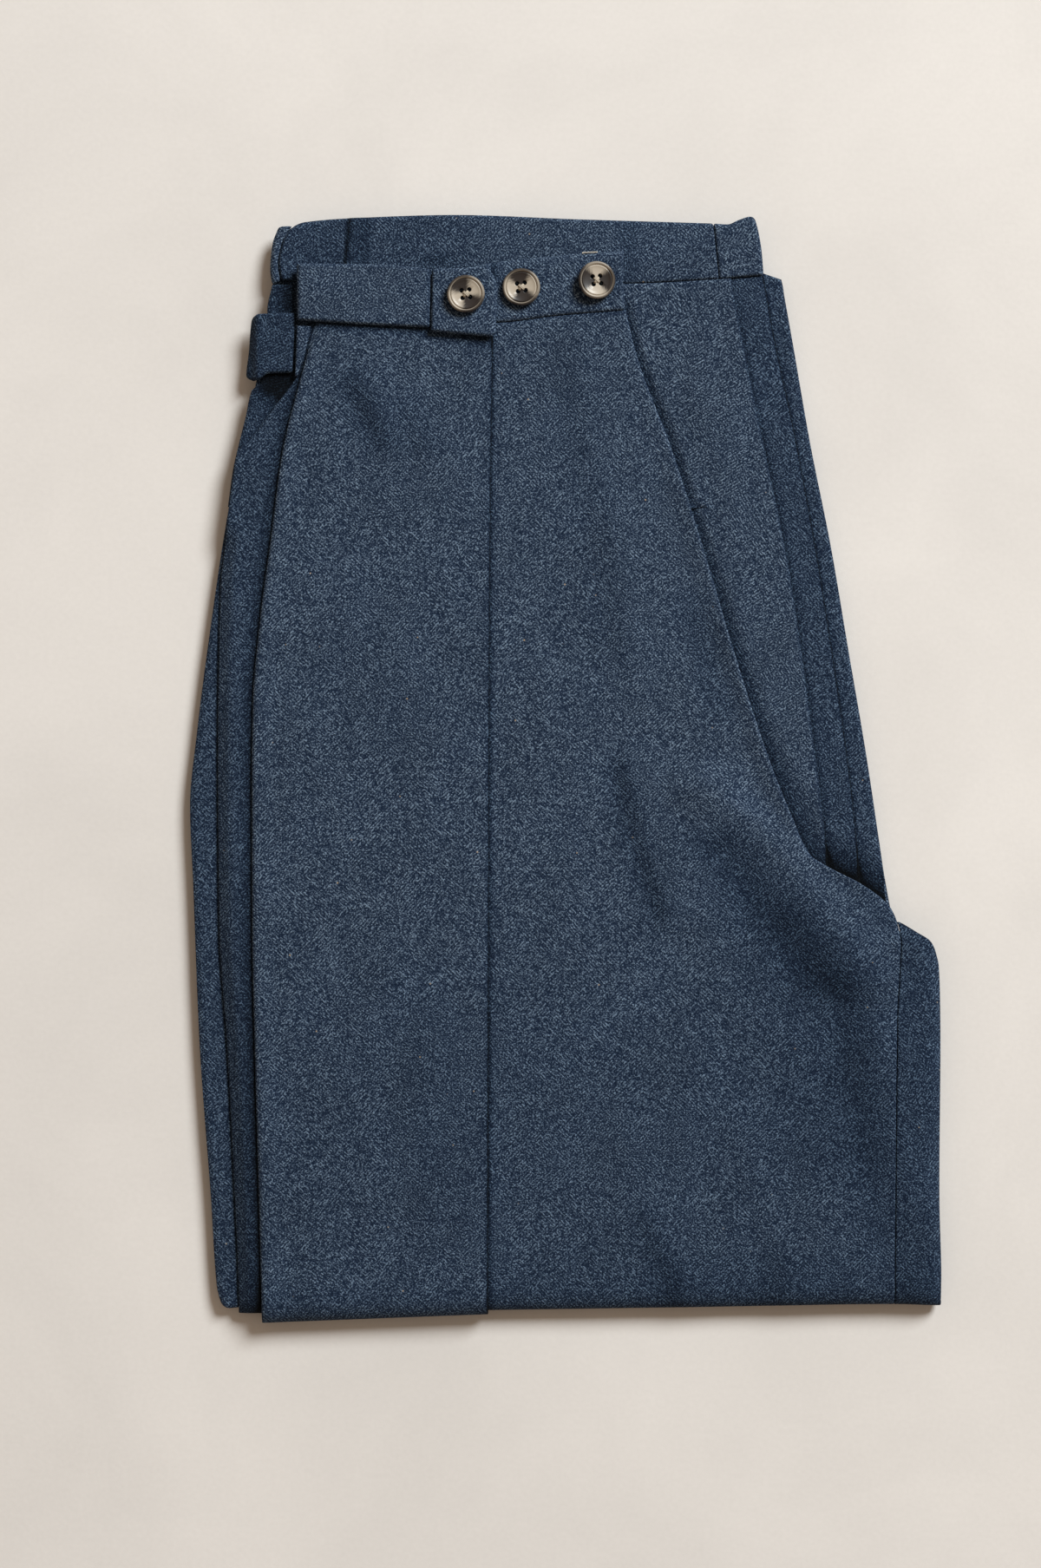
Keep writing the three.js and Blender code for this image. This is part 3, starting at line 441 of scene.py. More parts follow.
def shell(x, y, z, thickness, painted_shading, rim=0.35, rim_wear_and_shading=0.1, rings=3, folded=False):
    """Closed cloth wall under an outer face laid out in rows, with a rounded rim.

    Its thickness is taken straight down, or square to the face where the cloth folds round.
    Gives its points, its four-sided faces and the painted shading of each point."""
    outer = np.stack(np.broadcast_arrays(x, y, z), axis=-1).astype(float)
    thickness = np.broadcast_to(thickness, outer.shape[:2])[..., None]
    painted_shading = np.broadcast_to(painted_shading, outer.shape[:2])
    normal = np.zeros_like(outer) + (0, 0, 1)
    if folded:
        normal = np.cross(np.gradient(outer, axis=0), np.gradient(outer, axis=1))
        normal /= np.maximum(np.linalg.norm(normal, axis=-1, keepdims=True), 1e-9)
    inner = outer - normal * thickness
    last, end = outer.shape[0] - 1, outer.shape[1] - 1
    loop = ([(0, j) for j in range(end)] + [(i, end) for i in range(last)]
            + [(last, j) for j in range(end, 0, -1)] + [(i, 0) for i in range(last, 0, -1)])
    li, lj = np.array(loop).T
    border, up, wall = outer[li, lj], normal[li, lj], thickness[li, lj]
    tangent = np.roll(border, -1, axis=0) - np.roll(border, 1, axis=0)
    outward = np.cross(up, tangent)
    outward /= np.maximum(np.linalg.norm(outward, axis=-1, keepdims=True), 1e-9)
    radius = np.minimum(wall / 2, rim)
    middle = border - up * wall / 2
    outer[li, lj] = border - outward * radius
    inner[li, lj] = border - up * wall - outward * radius
    angles = np.linspace(0, math.pi, rings + 2)[1:-1]
    rounds = [middle + outward * radius * (math.sin(a) - 1) + up * wall / 2 * math.cos(a) for a in angles]
    number = np.arange(outer[..., 0].size).reshape(outer.shape[:2])
    count = number.size

    def cells(numbers):
        corners = numbers[:-1, :-1], numbers[1:, :-1], numbers[1:, 1:], numbers[:-1, 1:]
        return np.stack(corners, -1).reshape(-1, 4)

    loops = [number[li, lj]]
    loops += [2 * count + k * len(loop) + np.arange(len(loop)) for k in range(rings)]
    loops += [number[li, lj] + count]
    rim_faces = [np.stack([a, np.roll(a, -1), np.roll(b, -1), b], -1) for a, b in zip(loops, loops[1:])]
    faces = np.concatenate([cells(number), cells(number + count)[:, ::-1], *rim_faces])
    points = np.concatenate([outer.reshape(-1, 3), inner.reshape(-1, 3), *rounds])
    # The rim gets the face's painted shading plus a set amount: above zero its cut edge is lighter, partly by
    # wear and partly as a painted highlight, and below zero it is darker, as painted shade
    rim_shading = np.tile(painted_shading[li, lj] + rim_wear_and_shading, rings)
    shading_values = np.concatenate([painted_shading.ravel(), np.zeros(count), rim_shading])
    return points, faces, shading_values


def knee_fold(x, y, z, thickness, painted_shading, low, run_back=30, facets=18):
    """Rows that carry a panel on round the knee and back underneath."""
    angles = np.linspace(0, math.pi, facets + 1)[1:]
    middle = (z[-1] + low) / 2
    fold_y = [y[-1] - FOLD_DEPTH * math.sin(a) for a in angles]
    fold_z = [middle + (z[-1] - middle) * math.cos(a) for a in angles]
    back = np.linspace(0, run_back, 5)[1:]
    fold_y += [y[-1] + step for step in back]
    fold_z += [np.full_like(z[-1], low) for _ in back]
    extra = len(fold_y)
    repeat = [np.repeat(np.broadcast_to(part, z.shape)[-1:], extra, axis=0) for part in (x, thickness, painted_shading)]
    # Painted shade on the turn of the fold, darkest halfway round
    shade = -0.10 * np.sin(np.clip(np.arange(extra) / facets, 0, 1) * math.pi)[:, None]
    return (np.vstack([x, repeat[0]]), np.vstack([y, fold_y]), np.vstack([z, fold_z]),
            np.vstack([np.broadcast_to(thickness, z.shape), repeat[1]]),
            np.vstack([painted_shading, repeat[2] + shade]))


def cloth_piece(context, name, walls, grain_angle, node):
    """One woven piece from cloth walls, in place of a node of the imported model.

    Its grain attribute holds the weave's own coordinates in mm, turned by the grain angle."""
    points, faces, shading_values, base = [], [], [], 0
    for wall_points, wall_faces, wall_shading in walls:
        points.append(wall_points)
        faces.append(wall_faces + base)
        shading_values.append(wall_shading)
        base += len(wall_points)
    points, faces = np.concatenate(points), np.concatenate(faces)
    mesh = bpy.data.meshes.new(name)
    mesh.vertices.add(len(points))
    mesh.vertices.foreach_set("co", (points * MM).ravel().astype(np.float32))
    mesh.loops.add(faces.size)
    mesh.loops.foreach_set("vertex_index", faces.ravel().astype(np.int32))
    mesh.polygons.add(len(faces))
    mesh.polygons.foreach_set("loop_start", np.arange(0, faces.size, 4, dtype=np.int32))
    mesh.update(calc_edges=True)
    mesh.validate()
    mesh.shade_smooth()
    turned = np.array(Matrix.Rotation(math.radians(grain_angle), 3, "Z")) @ points.T
    own_place = 61.7 * (sum(map(ord, name)) % 23)
    set_attribute(mesh, "grain", turned.T + own_place)
    # The second attribute is painted shading: darker colour where the cloth lies in shade, lighter where it
    # catches the light
    set_attribute(mesh, "painted_shading", np.concatenate(shading_values))
    mesh.materials.append(wool_material(context))
    piece = bpy.data.objects.new(name, mesh)
    context.scene.collection.objects.link(piece)
    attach(piece, "root")
    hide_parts(node)


def set_attribute(mesh, name, values):
    """Gives each point of a mesh a number, or a vector, that its material reads."""
    values = np.asarray(values, np.float32)
    kind, field = ("FLOAT_VECTOR", "vector") if values.ndim > 1 else ("FLOAT", "value")
    mesh.attributes.new(name, kind, "POINT").data.foreach_set(field, values.ravel())


# ---- the shared shape of the stack

front_left, front_right = curve(FRONT_LEFT), curve(FRONT_RIGHT)
under_back_right, seat_back_right = curve(UNDER_BACK_RIGHT), curve(SEAT_BACK_RIGHT)
inseam_right, wrap_left, wrap_right = curve(INSEAM_RIGHT), curve(WRAP_LEFT), curve(WRAP_RIGHT)
under_left, under_right = curve(UNDER_LEFT), curve(UNDER_RIGHT)
CROTCH_ROWS = np.linspace(222, -84, 240)
CROTCH_EDGE = np.stack([front_right(CROTCH_ROWS), CROTCH_ROWS], -1)


def settle(x, y, z):
    """Lets the whole stack swell a little and unevenly, more the higher it lies."""
    swell = 0.6 * undulation(x, y, 46, 3) + 0.22 * undulation(x, y, 19, 5)
    return z + swell * np.clip((z - 3) / 8, 0, 1)


def settled_point(x, y, z):
    """Height of one point once the stack has settled."""
    return settle(np.array([x]), np.array([y]), np.array([z]))[0]


def beside_line(x, y, line, fade):
    """Distance to the right of a line, and a share that fades out past its two ends."""
    (top, x_top), (low, x_low) = line[0], line[-1]
    slant = (top - low) / math.hypot(top - low, x_top - x_low)
    ends = ease(top + fade - y, 0, fade) * ease(y - low + fade, 0, fade)
    return (x - curve(line)(y)) * slant, ends


def creases(x, y, table):
    """Rise of the soft creases in a table."""
    rise = np.zeros_like(x)
    for crease in table:
        side, ends = beside_line(x, y, crease.line, crease.fade)
        width = np.where(side < 0, crease.left, crease.right)
        rise += crease.rise * ends * (1 - ease(np.abs(side), 0, width))
    return rise


def hollows(x, y, table):
    """Painted shade in the hollows of a table, and painted highlight where a depth is below zero."""
    painted_shading = np.zeros_like(x)
    for hollow in table:
        side, ends = beside_line(x, y, hollow.line, hollow.fade)
        painted_shading -= hollow.depth * ends * bell(side, hollow.reach)
    return painted_shading


def beside_front(x, y):
    """Depth of the hollow beside the front panel's crotch edge, and its painted shade."""
    points = np.stack([x.ravel(), y.ravel()], -1)
    away = np.concatenate([
        np.sqrt(((part[:, None] - CROTCH_EDGE[None]) ** 2).sum(-1)).min(1)
        for part in np.array_split(points, max(1, len(points) // 4000))
    ]).reshape(x.shape)
    near = 1 - np.clip(away / curve(HOLLOW_WIDTH)(y), 0, 1)
    return HOLLOW_DEPTH * near * near * (3 - 2 * near), -HOLLOW_SHADE * near ** 1.7


def line_shade(distance, width, depth):
    """Painted shade in the first few mm beside an edge that lies on top."""
    return -depth * np.clip(1 - distance / width, 0, 1) ** 1.5 * (distance > -3)


def button_ring(x, y):
    """Painted shadow in a narrow ring round each button, where its rim keeps the light out."""
    painted_shading = np.zeros_like(x)
    for row in BUTTONS:
        away = np.hypot(x - row.x, y - row.y) - BUTTON_RADIUS
        painted_shading -= 0.34 * bell(away, 1.3) * (away > -3)
    return painted_shading


def front_height(x, y):
    """Outer face of the front panel over the layers under it, without creases."""
    seat = 1 - ease(x, under_back_right(y) + 8, under_back_right(y) + 22)
    upper = 1 - ease(x, seat_back_right(y) + 14, seat_back_right(y) + 28)
    thigh = 1 - ease(y, SEAT_END + 3, SEAT_END + 18)
    support = np.maximum(2 * PITCH * thigh, PITCH * (seat + upper))
    side = 1 - ease(x - front_left(y), 0, DROOP_WIDTH)
    low = 1 - ease(y, 105, 120)
    return SEAT_TOP + support + PITCH - DROOP * side * low


# ---- materials


def add_node(tree, kind, inputs=(), output=0, **settings):
    """Adds a node with its settings and links, and gives the wanted output.

    An input is a value, or the output that feeds it."""
    made = tree.nodes.new("ShaderNode" + kind)
    for name, value in settings.items():
        setattr(made, name, value)
    for socket, value in dict(inputs).items():
        if isinstance(value, bpy.types.NodeSocket):
            tree.links.new(value, made.inputs[socket])
        else:
            made.inputs[socket].default_value = value
    return made.outputs[output] if made.outputs else None


def new_material(name):
    """Empty node material, and add_node for its own tree."""
    material = bpy.data.materials.new(name)
    material.use_nodes = True
    material.node_tree.nodes.clear()
    return material, partial(add_node, material.node_tree)


def woven_wool(wool):
    """Melton-like woven wool: short floats of mixed yarn, crossing on the bias, under a soft raised pile,
    with painted light and shade read from the mesh.
    """
    material, add = new_material("woven_wool")
    grain = add("Attribute", output="Vector", attribute_name="grain")
    painted_shading = add("Attribute", output="Fac", attribute_name="painted_shading")
    # The yarns wander by about a yarn's width over 20 mm
    sway = add("TexNoise", {"Vector": grain, "Scale": 0.05, "Detail": 1.0}, "Color")
    wander = add("VectorMath", {0: sway, 1: (1.0, 1.0, 1.0), 2: grain}, operation="MULTIPLY_ADD")
    # Patches about 16 mm across where the floats that lean one way show more
    patch = add("TexNoise", {"Vector": grain, "Scale": 0.06, "Detail": 2.0}, "Fac")
    lean = add("MapRange", {"Value": patch, "From Min": 0.42, "From Max": 0.58},
               interpolation_type="SMOOTHSTEP")
    floats = []
    for turn, least, most in ((45, 0.6, 1.0), (-45, 0.95, 0.55)):
        along = add("Mapping", {
            "Vector": wander, "Rotation": (0, 0, math.radians(turn)),
            "Scale": (wool.float_length / MM, wool.pitch / MM, wool.pitch / MM)}, vector_type="TEXTURE")
        place = add("SeparateXYZ", {0: along}).node.outputs
        yarn = add("Math", {0: place["Y"]}, operation="ROUND")
        aside = add("Math", {0: place["Y"], 1: yarn}, operation="SUBTRACT")
        away = add("Math", {0: aside}, operation="ABSOLUTE")
        ridge = add("MapRange", {"Value": away, "From Min": 0.42, "From Max": 0.06},
                    interpolation_type="SMOOTHSTEP")
        # Each yarn shows in floats of its own, so its number moves it through the noise
        number = add("Math", {0: yarn, 1: 5.37}, operation="MULTIPLY")
        strand = add("CombineXYZ", {"X": place["X"], "Y": number, "Z": place["Z"]})
        shown = add("TexNoise", {"Vector": strand, "Scale": 1.25, "Detail": 1.5, "Roughness": 0.6}, "Fac")
        height = add("MapRange", {"Value": shown, "From Min": 0.26, "From Max": 0.68}, clamp=False)
        raised = add("Math", {0: height, 1: ridge}, operation="MULTIPLY")
        # The yarn is spun thick and thin, over about its own pitch
        thick = add("TexNoise", {"Vector": along, "Scale": 2.7, "Detail": 1.0, "Roughness": 0.6}, "Fac")
        loft = add("MapRange", {"Value": thick, "From Min": 0.38, "From Max": 0.66, "To Max": 0.62},
                   clamp=False)
        full = add("Math", {0: raised, 1: 0.68, 2: loft}, operation="MULTIPLY_ADD")
        amount = add("MapRange", {"Value": lean, "To Min": least, "To Max": most})
        floats.append(add("Math", {0: full, 1: amount}, operation="MULTIPLY"))
    crossed = add("Math", {0: floats[0], 1: floats[1]}, operation="MAXIMUM")
    # Loose fibres on the yarns, about half a mm to 1 mm apart
    fuzz = add("TexNoise", {"Vector": grain, "Scale": 1.3, "Detail": 2.0, "Roughness": 0.7}, "Fac")
    hair = add("MapRange", {
        "Value": fuzz, "From Min": 0.34, "From Max": 0.66, "To Min": -0.52, "To Max": 0.52}, clamp=False)
    weave = add("Math", {0: crossed, 1: hair}, operation="ADD")
    low = add("MapRange", {"Value": weave, "From Min": 0.1, "From Max": 0.56})
    body = add("Mix", {0: low, 6: (*wool.dark, 1), 7: (*wool.middle, 1)}, 2, data_type="RGBA")
    high = add("MapRange", {"Value": weave, "From Min": 0.56, "From Max": 1.2})
    yarns = add("Mix", {0: high, 6: body, 7: (*wool.light, 1)}, 2, data_type="RGBA")
    # Undyed fibres: specks of about half a mm, a few in a hand's breadth
    speck = add("TexVoronoi", {"Vector": grain, "Scale": 0.07}, "Distance", feature="F1")
    near = add("MapRange", {"Value": speck, "From Min": 0.036, "From Max": 0.02, "To Max": 0.75})
    flecked = add("Mix", {0: near, 6: yarns, 7: (*wool.fleck, 1)}, 2, data_type="RGBA")
    # The dye lies unevenly, in clouds of 20 to 60 mm drawn out along the leg
    drawn = add("Mapping", {"Vector": grain, "Scale": (0.05, 0.024, 0.03)})
    cloud = add("TexNoise", {"Vector": drawn, "Scale": 1.0, "Detail": 4.0}, "Fac")
    dye = add("MapRange", {"Value": cloud, "From Min": 0.3, "From Max": 0.7, "To Min": 0.9, "To Max": 1.08})
    # Painted light and shade from the mesh: darker, and cooler with it, where the painted shading is below
    # zero, and lighter where it is above; the dye clouds scale it too
    painted_shade_factor = add("MapRange", {
        "Value": painted_shading, "From Min": -1.0, "From Max": 1.0, "To Min": 0.02, "To Max": 1.98})
    depth = add("Math", {0: dye, 1: painted_shade_factor}, operation="MULTIPLY")
    painted_shade_tint = add("Mix", {0: painted_shade_factor, 6: (0.66, 0.93, 1.2, 1), 7: (1.0, 1.0, 1.0, 1)}, 2, data_type="RGBA")
    shaded = add("VectorMath", {0: flecked, 1: painted_shade_tint}, operation="MULTIPLY")
    colour = add("VectorMath", {0: shaded, "Scale": depth}, operation="SCALE")
    relief = add("Bump", {"Height": weave, "Distance": wool.relief, "Strength": 0.9})
    shader = add("BsdfPrincipled", {
        "Base Color": colour, "Roughness": 0.9, "IOR": 1.54, "Specular IOR Level": 0.1,
        "Sheen Weight": 0.03, "Sheen Roughness": 0.5, "Sheen Tint": (0.6, 0.75, 0.95, 1), "Normal": relief})
    add("OutputMaterial", {"Surface": shader})
    return material


def wool_material(context):
    """The garment's one woven wool, made once."""
    return bpy.data.materials.get("woven_wool") or woven_wool(context.scene.trousers_wool)


def turned_horn(horn):
    """Turned, polished horn: streaked, with a painted highlight in two opposite sectors across the face and a
    painted highlight line on the rim, under a tight gloss.
    """
    material, add = new_material("turned_horn")
    grain = add("Attribute", output="Vector", attribute_name="grain")
    flat = add("VectorMath", {0: grain, 1: (1, 1, 0)}, operation="MULTIPLY")
    heading = add("VectorMath", {0: flat}, operation="NORMALIZE")
    along = add("SeparateXYZ", {0: heading}, "X")
    square = add("Math", {0: along, 1: along}, operation="MULTIPLY")
    # Streaks 3 mm long and under 1 mm wide
    stretched = add("Mapping", {"Vector": grain, "Scale": (0.35, 1.3, 1.3)})
    streak = add("TexNoise", {"Vector": stretched, "Scale": 1.0, "Detail": 4.0}, "Fac")
    # Painted highlight: lighter in two opposite sectors along the grain's X direction, broken up by the
    # streaks
    uneven = add("Math", {0: streak, 1: 0.5, 2: square}, operation="MULTIPLY_ADD")
    bow = add("MapRange", {"Value": uneven, "From Min": 0.5, "From Max": 1.12},
              interpolation_type="SMOOTHSTEP")
    # On the rim, from about 7.3 mm out, the painted highlight is fainter and the colour browner
    reach = add("VectorMath", {0: flat}, "Value", operation="LENGTH")
    rim = add("MapRange", {"Value": reach, "From Min": 7.1, "From Max": 7.5, "To Max": 0.5})
    share = add("Mix", {0: rim, 2: bow, 3: 0.12}, data_type="FLOAT")
    # The rim's inner edge, 7.75 mm out, gets a painted highlight line 0.4 mm wide
    beside = add("Math", {0: reach, 1: 7.75}, operation="SUBTRACT")
    off_edge = add("Math", {0: beside}, operation="ABSOLUTE")
    painted_rim_highlight = add("MapRange", {"Value": off_edge, "From Min": 0.26, "From Max": 0.1, "To Max": 0.55})
    lighter = add("Math", {0: share, 1: painted_rim_highlight}, operation="ADD", use_clamp=True)
    streaks_and_highlights = add("Mix", {0: lighter, 6: (*horn.brown, 1), 7: (*horn.pale, 1)}, 2, data_type="RGBA")
    # The walls of the holes are painted near black, as painted shade inside the holes
    painted_hole_shade = add("Attribute", output="Fac", attribute_name="painted_hole_shade")
    colour = add("Mix", {0: painted_hole_shade, 6: streaks_and_highlights, 7: (0.004, 0.004, 0.005, 1)}, 2, data_type="RGBA")
    # Turning marks, rings 0.35 mm apart
    rings = add("TexWave", {"Vector": grain, "Scale": 0.9, "Distortion": 0.6, "Detail": 1.0}, "Fac",
                wave_type="RINGS", rings_direction="Z")
    marks = add("Bump", {"Height": rings, "Distance": 0.00002, "Strength": 0.35})
    shader = add("BsdfPrincipled", {
        "Base Color": colour, "Roughness": 0.42, "IOR": 1.56, "Specular IOR Level": 0.3,
        "Coat Weight": 0.12, "Coat Roughness": 0.15, "Normal": marks})
    add("OutputMaterial", {"Surface": shader})
    return material


def spun_thread(name, colour):
    """Polyester-wrapped sewing thread: soft gloss with the twist showing as fine slanted bands."""
    material, add = new_material(name)
    place = add("TexCoord", output="Object")
    # Twist bands about 0.4 mm apart
    twist = add("TexWave", {"Vector": place, "Scale": 1000.0, "Distortion": 1.0}, "Fac",
                bands_direction="DIAGONAL")
    shade = add("MapRange", {"Value": twist, "To Min": 0.7, "To Max": 1.1})
    tinted = add("VectorMath", {0: colour, "Scale": shade}, operation="SCALE")
    bump = add("Bump", {"Height": twist, "Distance": 0.00005, "Strength": 0.6})
    shader = add("BsdfPrincipled", {"Base Color": tinted, "Roughness": 0.6, "IOR": 1.5, "Normal": bump})
    add("OutputMaterial", {"Surface": shader})
    return material


def trowelled_plaster(colour):
    """Trowelled lime plaster: nearly even, with faint cloudy marks and a fine grit."""
    material, add = new_material("trowelled_plaster")
    place = add("TexCoord", output="Object")
    # Clouds of 60 to 200 mm with smaller trowel marks in them
    cloud = add("TexNoise", {
        "Vector": place, "Scale": 7.0, "Detail": 6.0, "Roughness": 0.62, "Distortion": 0.4}, "Fac")
    tone = add("MapRange", {
        "Value": cloud, "From Min": 0.32, "From Max": 0.68, "To Min": 0.94, "To Max": 1.03})
    grit = add("TexNoise", {"Vector": place, "Scale": 420.0, "Detail": 3.0}, "Fac")
    speckle = add("MapRange", {
        "Value": grit, "From Min": 0.3, "From Max": 0.7, "To Min": 0.985, "To Max": 1.015})
    amount = add("Math", {0: tone, 1: speckle}, operation="MULTIPLY")
    tinted = add("VectorMath", {0: tuple(colour), "Scale": amount}, operation="SCALE")
    bump = add("Bump", {"Height": grit, "Distance": 0.0002, "Strength": 0.15})
    shader = add("BsdfPrincipled", {
        "Base Color": tinted, "Roughness": 0.9, "IOR": 1.5, "Specular IOR Level": 0.2, "Normal": bump})
    add("OutputMaterial", {"Surface": shader})
    return material


def thread_line(name, radius, material):
    """Empty round curve and its object, for thread of a radius in mm."""
    line = bpy.data.curves.new(name, "CURVE")
    line.dimensions, line.bevel_depth, line.bevel_resolution = "3D", radius * MM, 2
    line.materials.append(material)
    thread = bpy.data.objects.new(name, line)
    bpy.context.scene.collection.objects.link(thread)
    return line, thread


def add_spline(line, kind, path):
    """Adds a spline through (x, y, z) rows in mm, and gives it."""
    spline = line.splines.new(kind)
    spline.points.add(len(path) - 1)
    rows = [(x * MM, y * MM, z * MM, 1) for x, y, z in path]
    spline.points.foreach_set("co", np.array(rows, np.float32).ravel())
    return spline


# ---- one operator for each piece or group of like pieces


class TROUSERS_OT_hidden_legs(bpy.types.Operator):
    """Under leg and both lower legs, as flattened runs of double cloth folded at the knee"""

    bl_idname = "trousers.hidden_legs"
    bl_label = "Hidden legs"

    TOP_ROW = 258
    FOLD_ROW = -254
    THIGH_FOLD_ROW = -252
    # Floor and top of each run, how far its edges are set in, and its last row at the knee
    RUNS = (
        {"low": 0.0, "high": 1.5, "inset": 2.2, "seed": 11, "recess": FOLD_RECESS},
        {"low": 1.65, "high": 3.1, "inset": 0.9, "seed": 12, "recess": FOLD_RECESS},
        {"low": 3.3, "high": 4.9, "inset": 1.8, "seed": 13},
        {"low": 5.1, "high": SEAT_TOP, "inset": 0.0, "seed": 14},
    )
    THIGH_RUNS = (
        {"low": 7.2, "high": 8.55, "inset": 0.6},
        {"low": 8.75, "high": THIGH_TOP - 0.05, "inset": 1.8},
    )

    def execute(self, context):
        walls = [self.run(**run) for run in self.RUNS] + [self.thigh_run(**run) for run in self.THIGH_RUNS]
        cloth_piece(context, "hidden_legs", walls, 0, "folded_under_legs")
        return {"FINISHED"}

    def run(self, low, high, inset, seed, recess=None):
        """One flattened run of double cloth, its edges a little uneven."""
        def wavy(y):
            return inset * (0.55 + 0.9 * undulation(y, 0 * y, 37, seed))

        top, fold = curve(UNDER_TOP), curve(UNDER_FOLD)
        last = recess or self.FOLD_ROW
        panel = Panel(lambda y: under_left(y) + wavy(y), lambda y: under_right(y) - wavy(y + 500),
                      lambda x: top(x) - inset, level(recess) if recess else lambda x: fold(x) + 0.7 * inset,
                      (self.TOP_ROW, last), (3, 2, 3.5, 3))
        across = joined(steps(0, 0.0045, 0.06), steps(0.06, 0.03, 0.93), steps(0.93, 0.0045, 1))
        rows = steps(self.TOP_ROW, 1, self.TOP_ROW - 4, 3.2, last + 5, 0.8, last)
        x, y = panel.lay_out(across, rows)
        depth, shade = beside_front(x, y)
        if high < SEAT_TOP:
            depth, shade = 0, 0
        fall = panel.fall(x, y, ((0.42 * (high - low), 3.0),) * 4)
        z = settle(x, y, high - fall - depth)
        # Painted shade: darker all over, beside the front panel's crotch edge on the top run, beside its side
        # and beside the upper back panel's edge
        painted_shading = shade - 0.24
        painted_shading = painted_shading + line_shade(front_left(y) - x, 3, 0.35) * (y < 115)
        painted_shading = painted_shading + line_shade(x - under_back_right(y), 2.5, 0.4) * (y > -60)
        return shell(x, y, z, high - low - 1.5 * fall - depth, painted_shading, rim=0.6, rim_wear_and_shading=0.05)

    def thigh_run(self, low, high, inset):
        """A run that fills the front from the crotch to the knee."""
        fold = curve(UNDER_FOLD)
        first = SEAT_END - 2
        panel = Panel(lambda y: front_left(y) + 12 + inset, lambda y: under_right(y) - inset,
                      level(first), lambda x: fold(x) + 3 + inset, (first, self.THIGH_FOLD_ROW), (2, 2, 3, 3))
        x, y = panel.lay_out(steps(0, 0.03, 0.93, 0.006, 1), steps(first, 4, self.THIGH_FOLD_ROW))
        fall = panel.fall(x, y, ((0.5, 2.5),) * 4)
        z = settle(x, y, high - fall)
        # Painted shade, a little darker all over
        return shell(x, y, z, high - low - 1.5 * fall, -0.2, rim=0.6)


class TROUSERS_OT_back_panels(bpy.types.Operator):
    """Both back panels at the seat, and the back panel where it turns in at the inseam"""

    bl_idname = "trousers.back_panels"
    bl_label = "Back panels"

    SEAT_TOP_ROW = 234
    SEAT_LAST_ROW = SEAT_END + 0.5
    INSEAM_TOP_ROW = -73.5
    INSEAM_LAST_ROW = -248

    def execute(self, context):
        def under_start(y):
            return np.maximum(front_left(np.minimum(y, 139)), under_left(y)) + 8.5

        def seat_start(y):
            return np.where(y > FACING_END, FACING_RIGHT + 2 * GAP, under_start(y))

        under = self.seat_panel(under_start, under_back_right, SEAT_TOP + PITCH, 0.94, upper=seat_back_right)
        seat = self.seat_panel(seat_start, seat_back_right, THIGH_TOP, 0.68)
        cloth_piece(context, "under_back_cloth", [under], 4, "under_back_panel")
        cloth_piece(context, "seat_back_cloth", [seat], 12, "seat_back_panel")
        cloth_piece(context, "inseam_back_cloth", [self.inseam_panel()], -6, "inseam_back_panel")
        return {"FINISHED"}

    def seat_panel(self, left, right, height, fine_from, upper=None):
        """One back panel at the seat, its columns close only where it shows beside an upper one."""
        panel = Panel(left, right, curve(BACK_TOP), level(self.SEAT_LAST_ROW),
                      (self.SEAT_TOP_ROW, self.SEAT_LAST_ROW))
        across = joined(steps(0, 0.06, fine_from), steps(fine_from, 0.008, 0.984), steps(0.984, 0.004, 1))
        rows = steps(self.SEAT_TOP_ROW, 2.2, FACING_END + 0.4, 0.6, FACING_END - 0.6, 2.2, self.SEAT_LAST_ROW)
        x, y = panel.lay_out(across, rows)
        depth, shade = beside_front(x, y)
        fall = panel.fall(x, y, (None, (0.5, 1.5), None, None))
        rise = 0 if upper else creases(x, y, SEAT_CREASES)
        z = settle(x, y, height - fall - depth + rise)
        # Painted shade beside the crotch edge, along its own right edge and under the waistband; the lower
        # panel is also darker all over and beside the upper panel's edge
        painted_shading = shade - 0.6 * bell(x - right(y), 0.9)
        if upper:
            painted_shading = painted_shading + line_shade(x - upper(y), 3, 0.5) - 0.26
        painted_shading = painted_shading + line_shade(self.SEAT_TOP_ROW + 2 - y, 2.5, 0.2)
        return shell(x, y, z, CLOTH - fall, painted_shading, rim_wear_and_shading=-0.1)

    def inseam_panel(self):
        """The back panel beside the inseam, rounding down over the leg's outer edge."""
        fold = curve(FRONT_FOLD)
        panel = Panel(lambda y: front_right(y) + SEWN_GAP, inseam_right, level(self.INSEAM_TOP_ROW),
                      lambda x: fold(x) + FOLD_DEPTH, (self.INSEAM_TOP_ROW, self.INSEAM_LAST_ROW))
        across = steps(0, 0.035, 0.07, 0.05, 0.7, 0.035, 1)
        rows = steps(self.INSEAM_TOP_ROW, 0.9, -96, 2.3, self.INSEAM_LAST_ROW)
        x, y = panel.lay_out(across, rows)
        fall = panel.fall(x, y, ((0.3, 0.8), None, None, None)) * ease(-y, 76, 84)
        z = settle(x, y, front_height(x, y) + creases(x, y, FRONT_CREASES) - fall)
        # Its last 8 mm round down by up to 5 mm
        reach = np.clip((x - inseam_right(y) + 8) / 8.4, 0, 1) * ease(-y, 73, 92)
        z = z - 5 * (1 - np.sqrt(1 - reach ** 2))
        # Painted shade: the front's hollows at 0.6 strength, darker all over, beside the seam low down and
        # towards the knee
        painted_shading = 0.6 * hollows(x, y, FRONT_HOLLOWS) - 0.32
        painted_shading = painted_shading + line_shade(x - front_right(y), 1.2, 0.08) * (y < -80) - 0.16 * ease(-y, 232, 250)
        return shell(*knee_fold(x, y, z, CLOTH - fall, painted_shading, PITCH), folded=True)


